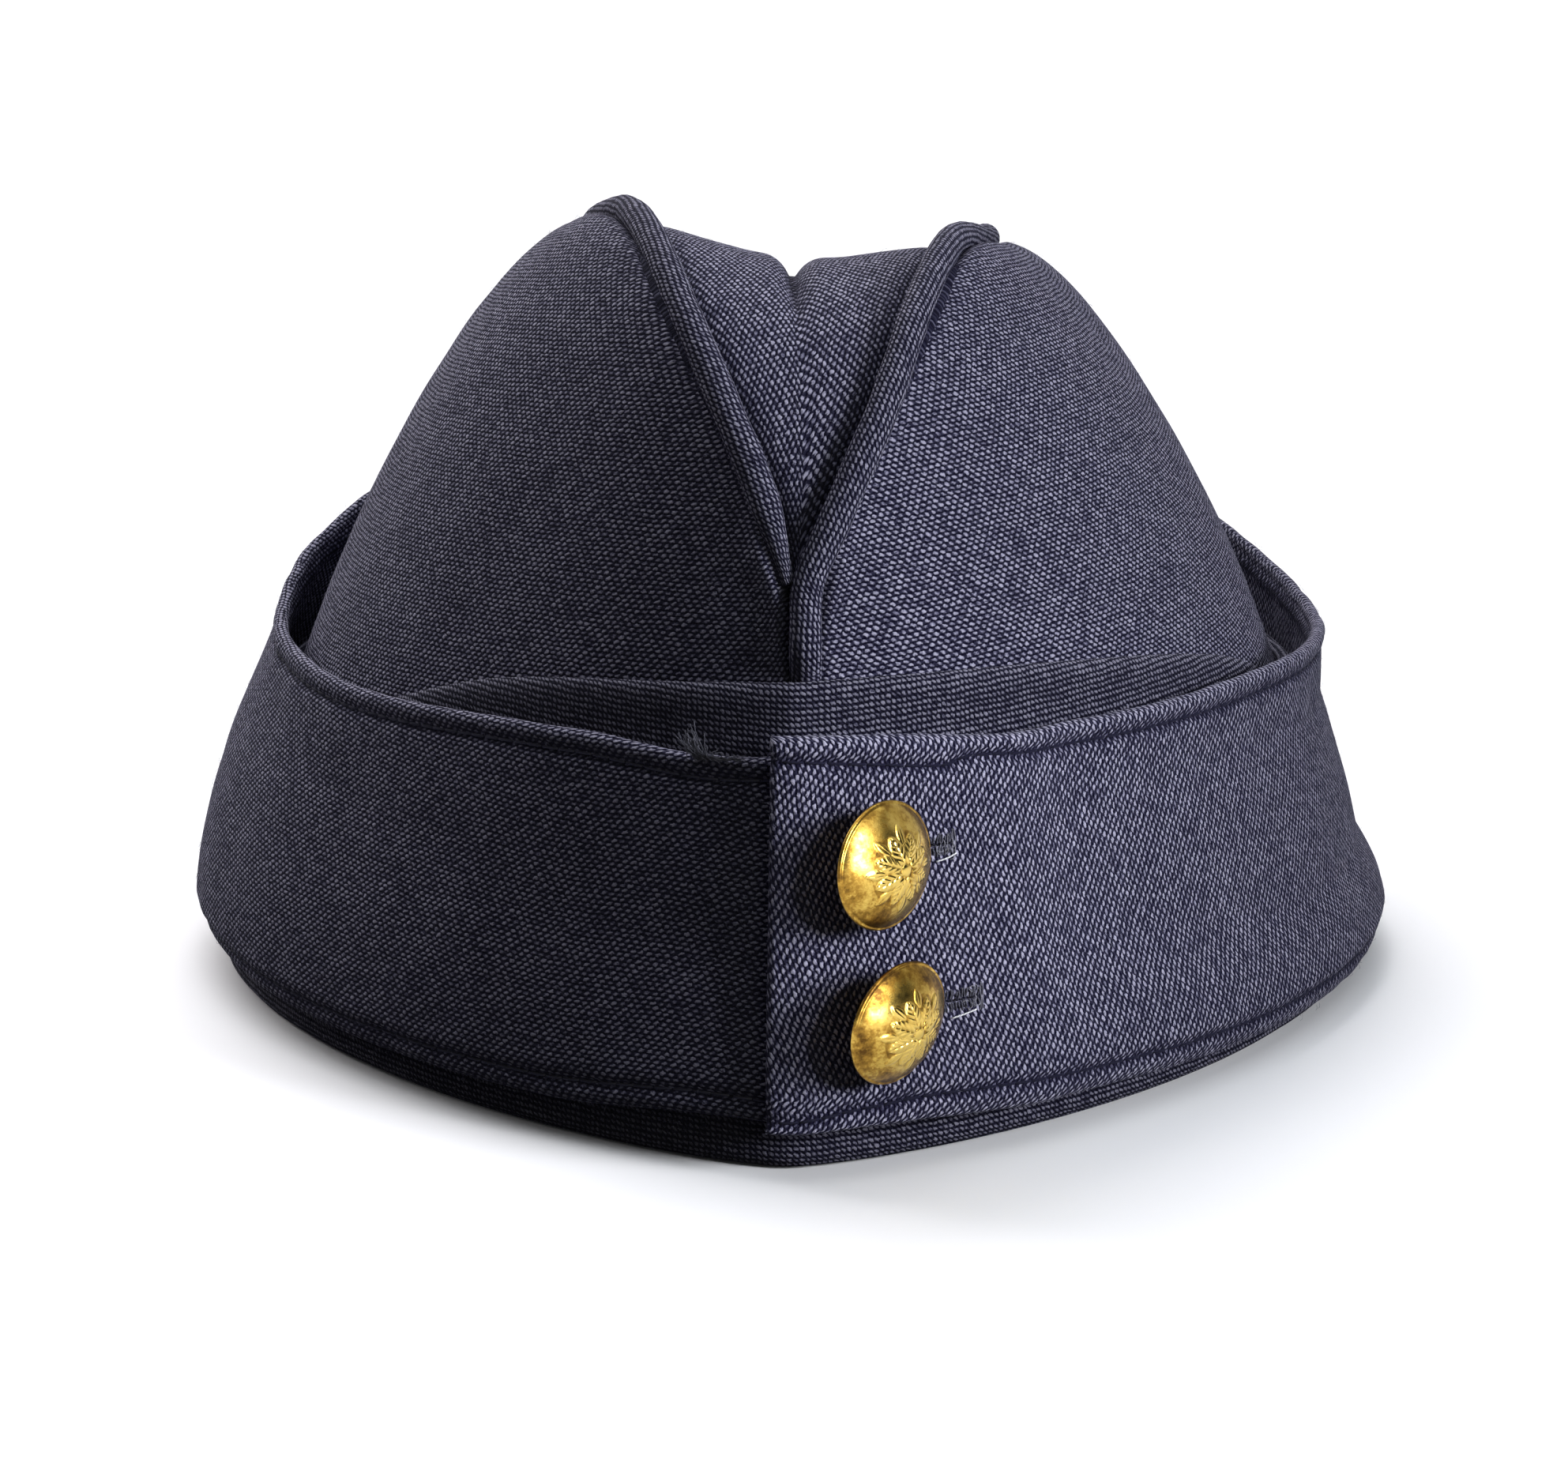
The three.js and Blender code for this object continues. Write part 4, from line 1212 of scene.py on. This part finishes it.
for side in TURN:
    node = f"flap_{side}"
    below, above = stitch_lines(side, sheets[node]["points"])
    stitches = []
    for distance, from_top in ((below[:, 0], True), (above[:, 0], False)):
        line, facing = line_on(node, distance, from_top)
        run = run_along(line)
        middles = np.arange(STITCH_FROM_END, run[-1] - STITCH_FROM_END, STITCH_PITCH)
        middles = middles + rng.uniform(-STITCH_UNEVEN, STITCH_UNEVEN, len(middles))
        at = middles[:, None] + STITCH_STEPS * STITCH_LENGTH
        stitches.append(resample(run, line, at) + resample(run, facing, at) * STITCH_LIFT[:, None])
    thread_piece(f"{node}_stitches", np.concatenate(stitches), STITCH_RADIUS, STITCH_SIDES, navy_thread)

# %% [markdown]
# ## Buttons
# The two buttons are stamped brass domes with a rolled rim and a shank at the back. A profile could be
# spun round the axis, but here a ring of points is extruded and scaled step by step along the profile,
# as one would by hand, because that leaves a clean ring for every step of the relief. The face then gets
# a plain rosette, raised point by point, and the height is kept as an attribute, so the finish can stay
# bright on top and brown in the hollows.

# %% Brass
RELIEF_MAP = "relief"
STAIN = {"Scale": 300.0, "Detail": 5.0, "Roughness": 0.6}
SPECK = {"Scale": 1700.0, "Detail": 4.0, "Roughness": 0.7}
SPECK_CHANGE = 0.45
GRIME_ALL, GRIME_RUBBED, GRIME_ROUGH = 0.1, -0.3, 0.5
DENT_DEEP, DENT_STRENGTH = 0.00004, 0.7
BRASS_STOPS = (
    (0.38, (0.74, 0.52, 0.13)),
    (0.5, (0.6, 0.39, 0.08)),
    (0.61, (0.34, 0.19, 0.032)),
    (0.76, (0.1, 0.05, 0.012)))


def brass():
    """Gold-coloured brass, bright where it is rubbed and brown in hollows and stains."""
    material, tree, shader = new_material("button_brass", Metallic=1.0)
    at = add_node(tree, "ShaderNodeTexCoord").outputs["Object"]
    relief = add_node(tree, "ShaderNodeAttribute", attribute_name=RELIEF_MAP).outputs["Fac"]
    stain, speck = (
        add_node(tree, "ShaderNodeTexNoise", {"Vector": at, **pattern}).outputs["Fac"]
        for pattern in (STAIN, SPECK))
    specks = calc(tree, "MULTIPLY_ADD", calc(tree, "SUBTRACT", speck, 0.5), SPECK_CHANGE, stain)
    grime = calc(tree, "MULTIPLY_ADD", relief, GRIME_RUBBED, calc(tree, "ADD", specks, GRIME_ALL))
    feed(tree, shader.inputs["Base Color"], ramp(tree, grime, BRASS_STOPS))
    feed(tree, shader.inputs["Roughness"], calc(tree, "MULTIPLY_ADD", grime, GRIME_ROUGH, 0.0))
    dents = add_node(
        tree, "ShaderNodeBump", {"Height": specks, "Distance": DENT_DEEP, "Strength": DENT_STRENGTH})
    feed(tree, shader.inputs["Normal"], dents.outputs["Normal"])
    return material


button_brass = brass()
print("brass:", button_brass.name)

# %% Profile and rosette of a button
SHANK_LENGTH, SHANK_RADIUS = 5.6, 1.1
DOME_RADIUS, DOME_FOOT, DOME_HIGH, DOME_RINGS = 7.9, 0.8, 3.5, 84
DOME_FULL = 0.85
RIM_PROFILE = (
    (SHANK_RADIUS, 0), (7.4, 0), (8.0, 0.06), (8.26, 0.28), (8.3, 0.5), (8.22, 0.72), (8.06, 0.82),
    (DOME_RADIUS, DOME_FOOT))
FLOWER_HIGH, BOSS_RADIUS = 0.22, 0.9
PETALS, PETAL_FROM, PETAL_LONG, PETAL_WIDE = 8, 0.85, 3.9, 1.3
LEAF_FROM, LEAF_LONG, LEAF_WIDE, LEAF_HIGH = 3.2, 2.5, 0.66, 0.8
LEAF_BLUNT, LEAF_TIP = 0.75, 0.01
VEIN_DEEP, VEINS_ASIDE, VEINS_ALONG = 0.16, 1.5, 1.3
PETAL_RIB, PETAL_RIB_WIDE = 0.45, 0.13
LEAF_RIB, LEAF_RIB_WIDE = 0.3, 0.1


def leaf(r, turn, start, long, wide):
    """How round a leaf stands at a place, and the distance from its rib."""
    step = 2 * np.pi / PETALS
    aside = r * np.sin(np.mod(turn, step) - step / 2)
    share = (r - start) / long
    width = wide * np.sin(np.pi * np.clip(share, LEAF_TIP, 1 - LEAF_TIP)) ** LEAF_BLUNT
    return np.where((share > 0) & (share < 1), np.sqrt(np.clip(1 - (aside / width) ** 2, 0, 1)), 0), aside


def rosette(r, turn):
    """Height of a plain rosette: a boss, veined petals and small leaves between them."""
    boss = np.sqrt(np.clip(1 - (r / BOSS_RADIUS) ** 2, 0, 1))
    petal, aside = leaf(r, turn, PETAL_FROM, PETAL_LONG, PETAL_WIDE)
    veins = VEIN_DEEP * np.cos(2 * np.pi * (VEINS_ASIDE * np.abs(aside) - VEINS_ALONG * r))
    veins = veins + PETAL_RIB * near(aside, PETAL_RIB_WIDE)
    between, rib = leaf(r, turn + np.pi / PETALS, LEAF_FROM, LEAF_LONG, LEAF_WIDE)
    leaves = between * (LEAF_HIGH - LEAF_RIB * near(rib, LEAF_RIB_WIDE))
    return FLOWER_HIGH * np.maximum(np.maximum(boss, petal * (1 - veins)), leaves)


def button_profile():
    """Radius and height of each ring, from the end of the shank to the top of the dome."""
    shares = 1 - np.arange(1, DOME_RINGS) / DOME_RINGS
    heights = DOME_FOOT + DOME_HIGH * (1 - shares ** 2) ** DOME_FULL
    return [(SHANK_RADIUS, -SHANK_LENGTH), *RIM_PROFILE, *zip(DOME_RADIUS * shares, heights)]


print("button profile:", len(button_profile()), "rings")

# %% Model a button on its own axis
BUTTON_SIDES = 256
DOME_EDGE = 0.2
DOME_RUBBED, RIM_GRIME, RIM_GRIME_FROM = 0.4, 0.5, (5, 8)
HOLLOW_GRIME, HOLLOW_RADIUS = 0.3, 4.9


def turned_button(name):
    """Plain button: a ring extruded and scaled along the profile."""
    profile = button_profile()
    bpy.ops.object.select_all(action="DESELECT")
    bpy.ops.mesh.primitive_circle_add(
        vertices=BUTTON_SIDES, radius=profile[0][0] * MM, fill_type="NGON", location=(0, 0, 0))
    piece = bpy.context.object
    piece.name = piece.data.name = name
    bpy.ops.object.mode_set(mode="EDIT")
    bpy.ops.mesh.select_all(action="SELECT")
    bpy.ops.transform.translate(value=(0, 0, profile[0][1] * MM))
    for (r, z), (next_r, next_z) in zip(profile, profile[1:]):
        bpy.ops.mesh.extrude_region_move(TRANSFORM_OT_translate={"value": (0, 0, (next_z - z) * MM)})
        bpy.ops.transform.resize(value=(next_r / r, next_r / r, 1))
    bpy.ops.mesh.select_all(action="SELECT")
    bpy.ops.mesh.normals_make_consistent(inside=False)
    bpy.ops.object.mode_set(mode="OBJECT")
    return piece


def stamp(mesh):
    """Raises the rosette on the dome and keeps how much each place is rubbed."""
    at = np.empty(len(mesh.vertices) * 3)
    mesh.vertices.foreach_get("co", at)
    at = at.reshape(-1, 3)
    r = np.hypot(at[:, 0], at[:, 1]) / MM
    on_dome = (at[:, 2] > DOME_FOOT * MM) & (r < DOME_RADIUS - DOME_EDGE)
    raised = np.where(on_dome, rosette(r, np.arctan2(at[:, 1], at[:, 0])), 0)
    at[:, 2] += raised * MM
    mesh.vertices.foreach_set("co", at.ravel())
    plain = DOME_RUBBED - RIM_GRIME * smoothstep(*RIM_GRIME_FROM, r)
    rubbed = np.where(on_dome & (raised > 0), raised / FLOWER_HIGH, plain)
    rubbed -= HOLLOW_GRIME * ((raised == 0) & (r < HOLLOW_RADIUS))
    mesh.attributes.new(RELIEF_MAP, "FLOAT", "POINT").data.foreach_set("value", rubbed)


print("rosette:", PETALS, "petals,", FLOWER_HIGH, "mm high")

# %% Make the buttons
BUTTON_LIFT = 4.1
BUTTON_TILT = {"button_upper": (45, 2), "button_lower": (45, -8)}

button_seats = {}
for node, (seat_x, seat_z) in BUTTON_SEATS.items():
    piece = turned_button(f"{node}_dome")
    stamp(piece.data)
    bpy.ops.object.shade_smooth()
    angle = np.array([angle_at(seat_x)])
    low, top = flap_edges("right", angle)
    seat = flap_face("right", angle, (seat_z - low) / (top - low))[0]
    button_seats[node] = seat
    outward = np.append(rim(angle)[1][0], 0)
    turn, pitch = (math.radians(degrees) for degrees in BUTTON_TILT[node])
    axis = Vector((math.sin(turn) * math.cos(pitch), -math.cos(turn) * math.cos(pitch), math.sin(pitch)))
    piece.rotation_euler = axis.to_track_quat("Z", "Y").to_euler()
    piece.location = Vector((seat + outward * BUTTON_LIFT + FORWARD) * MM)
    bpy.ops.object.transform_apply(location=True, rotation=True, scale=True)
    piece.data.materials.append(button_brass)
    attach(piece, "root")
    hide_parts(node)
    print(f"{piece.name}: {len(piece.data.polygons)} faces at {[round(c, 1) for c in seat]}")

# %% [markdown]
# ## Buttonholes
# The shanks go through worked buttonholes in the right flap. The slits could be left out of the grid,
# but its rows don't follow them, so a thin box cuts each one right through the cloth with a Boolean
# modifier. Navy thread is whipped over both edges of the slit, a bar of grey thread closes its outer
# end, and a white end of thread sticks out from under each button.

# %% Cut the buttonholes
SLIT_FROM, SLIT_SHORT, SLIT_WIDE, SLIT_DEEP = -1.8, 0.6, 0.3, 9.0
BUTTONHOLE_END = {"button_upper": 12.3, "button_lower": 14.5}
FRONT_COLUMNS = 45


def on_flap(node, along, up, lift):
    """Places on the right flap, along it and up from a button's seat, and lifted off its face."""
    seat, sheet = button_seats[node], sheets["flap_right"]
    along, up, lift = (np.asarray(v, float) for v in np.broadcast_arrays(along, up, lift))
    columns = sheet["points"][:FRONT_COLUMNS, :, 2]
    places = np.empty((*along.shape, 3))
    for i in np.ndindex(along.shape):
        line, facing = (
            np.array([
                resample(heights, column, seat[2] + up[i])
                for heights, column in zip(columns, sheet[key][:FRONT_COLUMNS])])
            for key in ("points", "facing"))
        run = run_along(line)
        at = np.interp(seat[0], line[:, 0], run) + along[i]
        places[i] = resample(run, line, at) + resample(run, facing, at) * lift[i]
    return places


for node, end in BUTTONHOLE_END.items():
    first, last = on_flap(node, [SLIT_FROM, end - SLIT_SHORT], 0, 0)
    slit_long = length_of(last - first)
    bpy.ops.object.select_all(action="DESELECT")
    bpy.ops.mesh.primitive_cube_add(size=1, location=(first + last) / 2 * MM + FORWARD * MM)
    cutter = bpy.context.object
    cutter.scale = (slit_long * MM, SLIT_DEEP * MM, SLIT_WIDE * MM)
    cutter.rotation_euler[2] = math.atan2(last[1] - first[1], last[0] - first[0])
    bpy.ops.object.transform_apply(location=True, rotation=True, scale=True)
    apply_modifier(flap["right"], "BOOLEAN", object=cutter, operation="DIFFERENCE", solver="EXACT")
    bpy.data.objects.remove(cutter)
    print(f"{node}: slit {slit_long:.1f} mm long, flap now {len(flap['right'].data.polygons)} faces")

# %% Whip the buttonholes
WHIP_PITCH, WHIP_WIDE, WHIP_SHORT = 0.42, 1.3, 0.4
WHIP_UNEVEN, WHIP_CROOKED, WHIP_RAGGED = 0.12, 0.08, 0.3
WHIP_ALONG = np.array([0, 0.05, 0.12, 0.2, 0.22])
WHIP_ACROSS = np.array([0.05, 0.25, 0.6, 0.9, 1])
WHIP_LIFT = (-0.4, 0.1, 0.16, 0.08, -0.3)
WHIP_RADIUS, WHIP_SIDES = 0.13, 6
whip_thread = thread_material("whip_thread", (0.085, 0.085, 0.115), 0.7)


def whip(node, end):
    """Threads over both edges of a slit."""
    starts = np.arange(SLIT_FROM, end - WHIP_SHORT, WHIP_PITCH)
    starts = (starts + rng.uniform(-WHIP_UNEVEN, WHIP_UNEVEN, len(starts)))[:, None]
    whipped = []
    for way in (-1, 1):
        crooked = rng.uniform(-WHIP_CROOKED, WHIP_CROOKED, (len(starts), len(WHIP_ALONG)))
        reach = way * (WHIP_WIDE + rng.uniform(-WHIP_RAGGED, WHIP_RAGGED, starts.shape))
        whipped.append(on_flap(node, starts + WHIP_ALONG + crooked, reach * WHIP_ACROSS, WHIP_LIFT))
    thread_piece(f"{node}_whipping", np.concatenate(whipped), WHIP_RADIUS, WHIP_SIDES, whip_thread)


print("whipping every", WHIP_PITCH, "mm with", whip_thread.name)

# %% Tack the buttonholes and leave the thread ends
BARS_FROM_END, BARS_TALL = np.array([[0], [0.25], [1.1]]), np.array([[0.95], [1], [0.7]])
BAR_HALF, BAR_CROOKED = 1.9, 0.1
BAR_STEPS = np.array([-1, -0.9, -0.4, 0.4, 0.9, 1])
BAR_LIFT = (-0.2, 0.12, 0.22, 0.22, 0.12, -0.2)
TANGLE_THREADS, TANGLE_FROM_END, TANGLE_HALF = 9, (0.3, 2.6), 1.4
TANGLE_TURN, TANGLE_CURL = np.linspace(0, 2.4, 6), (0.4, 0.9)
TANGLE_LIFT = (-0.1, 0.2, 0.28, 0.28, 0.2, -0.1)
TACK_RADIUS, TACK_SIDES = 0.06, 5
STRANDS = {
    "button_upper": ((9.4, -2.0), (11.0, -1.75), (12.4, -1.3)),
    "button_lower": ((9.8, -2.1), (11.6, -1.85), (13.4, -1.5)),
}
STRAND_LIFT, STRAND_RADIUS, STRAND_SIDES, STRAND_STEPS = 0.45, 0.1, 6, 9
grey_thread = thread_material("grey_thread", (0.26, 0.26, 0.31), 0.6)
white_thread = thread_material("white_thread", (0.8, 0.8, 0.84), 0.5)


def tack(node, end):
    """Bars across the end of a slit, with a tangle of loose turns over them."""
    crooked = rng.uniform(-BAR_CROOKED, BAR_CROOKED, (len(BARS_TALL), len(BAR_STEPS)))
    bars = on_flap(node, end - BARS_FROM_END + crooked, BAR_HALF * BAR_STEPS * BARS_TALL, BAR_LIFT)
    along = end - rng.uniform(*TANGLE_FROM_END, TANGLE_THREADS)[:, None]
    up = rng.uniform(-TANGLE_HALF, TANGLE_HALF, TANGLE_THREADS)[:, None]
    swing = rng.uniform(0, 2 * np.pi, TANGLE_THREADS)[:, None] + TANGLE_TURN
    curl = rng.uniform(*TANGLE_CURL, (TANGLE_THREADS, 1))
    tangle = on_flap(node, along + curl * np.cos(swing), up + curl * np.sin(swing), TANGLE_LIFT)
    thread_piece(f"{node}_bar_tack", np.concatenate([bars, tangle]), TACK_RADIUS, TACK_SIDES, grey_thread)


for node, end in BUTTONHOLE_END.items():
    whip(node, end)
    tack(node, end)
    strand = even_path(np.array([on_flap(node, along, up, STRAND_LIFT) for along, up in STRANDS[node]]))
    strand_points = strand(np.linspace(0, 1, STRAND_STEPS))[None]
    thread_piece(f"{node}_thread_end", strand_points, STRAND_RADIUS, STRAND_SIDES, white_thread)

# %% [markdown]
# ## Loose fibres
# Worn wool grows a thin fuzz. Hair particles could grow it, but they leave no mesh behind, so short
# curved fibres are made with the thread helper. They stand off every outer face, and a frayed tuft
# sticks up from the top edge of the left flap beside the lap. They are a tenth of a millimetre thick or
# less, so three or four sides are enough.

# %% Grow the fuzz
FIBRES = {
    "crown_left": 1300, "crown_right": 1200, "crown_gusset": 500, "turn_up_band": 500, "flap_left": 1500,
    "flap_right": 1200}
FIBRE_SHARES = np.array([-0.08, 0.3, 0.65, 1.0])
FIBRE_BEND, FIBRE_LONG, FIBRE_RISE = 0.35, (0.4, 1.2), (0.1, 0.5)
FIBRE_ARCH, FIBRE_SUNK = 2.2, 0.05
FIBRE_RADIUS, FIBRE_SIDES = 0.015, 3
FLOOR_CLEAR = 0.2
fibre_wool = thread_material("fibre_wool", (0.17, 0.17, 0.22), 0.8)


def fibres_on(points, facing, count):
    """Short curved fibres that start at random places of a sheet."""
    i, j = (rng.integers(0, size - 1, count) for size in points.shape[:2])
    u, v = rng.random((2, count, 1))
    base = points[i, j] + (points[i + 1, j] - points[i, j]) * u + (points[i, j + 1] - points[i, j]) * v
    normal = facing[i, j]
    tangent = square_to(rng.normal(size=(count, 3)), normal)
    bend = np.cross(normal, tangent) * rng.normal(0, FIBRE_BEND, (count, 1))
    long = rng.uniform(*FIBRE_LONG, (count, 1, 1))
    rise = rng.uniform(*FIBRE_RISE, (count, 1, 1))
    t = FIBRE_SHARES[None, :, None]
    arch = np.sin(np.clip(t, 0, 1) * FIBRE_ARCH) * rise - FIBRE_SUNK
    return base[:, None] + long * (tangent[:, None] * t + bend[:, None] * t * t + normal[:, None] * arch)


fuzz = np.concatenate([
    fibres_on(sheets[node]["points"], sheets[node]["facing"], count) for node, count in FIBRES.items()])
above_floor = fuzz[..., 2].min(axis=1) > FLOOR_CLEAR
thread_piece("wool_fuzz", fuzz[above_floor], FIBRE_RADIUS, FIBRE_SIDES, fibre_wool)

# %% Fray the left flap
TUFT_X, TUFT_END_X, TUFT_SPREAD = -11.3, -6.5, 0.5
TUFT_FIBRES, TUFT_LEAN, TUFT_LONG = 70, (-0.42, 0, 0.95), (1.2, 3.4)
EDGE_FIBRES, EDGE_LEAN, EDGE_LONG = 90, (0.75, -0.2, 0.05), (0.7, 1.8)
EDGE_BELOW_TOP = 0.4
LEAN_SPREAD = 0.22
CURL_WIDE, CURL_TURNS = 0.22, (3, 7)
BULGE_LEAST, BULGE_MORE, BULGE_ARCH = 0.25, 0.45, 2.6
FRAY_SHARES = np.linspace(-0.15, 1, 7)[None, :, None]
FRAY_RADIUS, FRAY_SIDES = 0.05, 4

columns = len(sheets["flap_left"]["points"])
edge, edge_facing = line_on("flap_left", np.full(columns, EDGE_BELOW_TOP), True)
in_front = edge[:, 1] < 0
order = np.argsort(edge[in_front, 0])
edge, edge_facing = edge[in_front][order], edge_facing[in_front][order]


def frayed(x, lean, reach):
    """Curled fibres from the edge, leaning one way."""
    count = len(x)
    root, outward = (resample(edge[:, 0], values, x)[:, None] for values in (edge, edge_facing))
    t, past = FRAY_SHARES, np.clip(FRAY_SHARES, 0, 1)
    swing = rng.uniform(0, 2 * np.pi, (count, 1, 3)) + rng.uniform(*CURL_TURNS, (count, 1, 1)) * t
    curl = CURL_WIDE * np.sin(swing) * past
    bulge = outward * (BULGE_LEAST + BULGE_MORE * np.sin(BULGE_ARCH * past))
    long = rng.uniform(*reach, (count, 1, 1))
    way = rng.normal(lean, LEAN_SPREAD, (count, 1, 3))
    return root + long * t * way + curl + bulge


tuft = frayed(TUFT_X + rng.normal(0, TUFT_SPREAD, TUFT_FIBRES), TUFT_LEAN, TUFT_LONG)
along_edge = frayed(rng.uniform(TUFT_X, TUFT_END_X, EDGE_FIBRES), EDGE_LEAN, EDGE_LONG)
tuft_wool = thread_material("tuft_wool", (0.1, 0.1, 0.125), 0.85)
thread_piece("flap_left_tuft", np.concatenate([tuft, along_edge]), FRAY_RADIUS, FRAY_SIDES, tuft_wool)

# %% [markdown]
# ## Light beside the buttons
# The cloth just left of the buttons is lit, while the left flap beside it stays in the shade. One spot
# from the front could not do both, and a card or a narrower cone would leave a hard line. Light linking
# is the tool for this: a light with a receiver collection shines only on what the collection holds, so
# the second spot opens the buttons' shade on the right flap alone.

# %% Let the second spot light only the right flap
beside_buttons = bpy.data.collections.new("beside_buttons")
beside_buttons.objects.link(flap["right"])
bpy.data.objects["window_edge"].light_linking.receiver_collection = beside_buttons
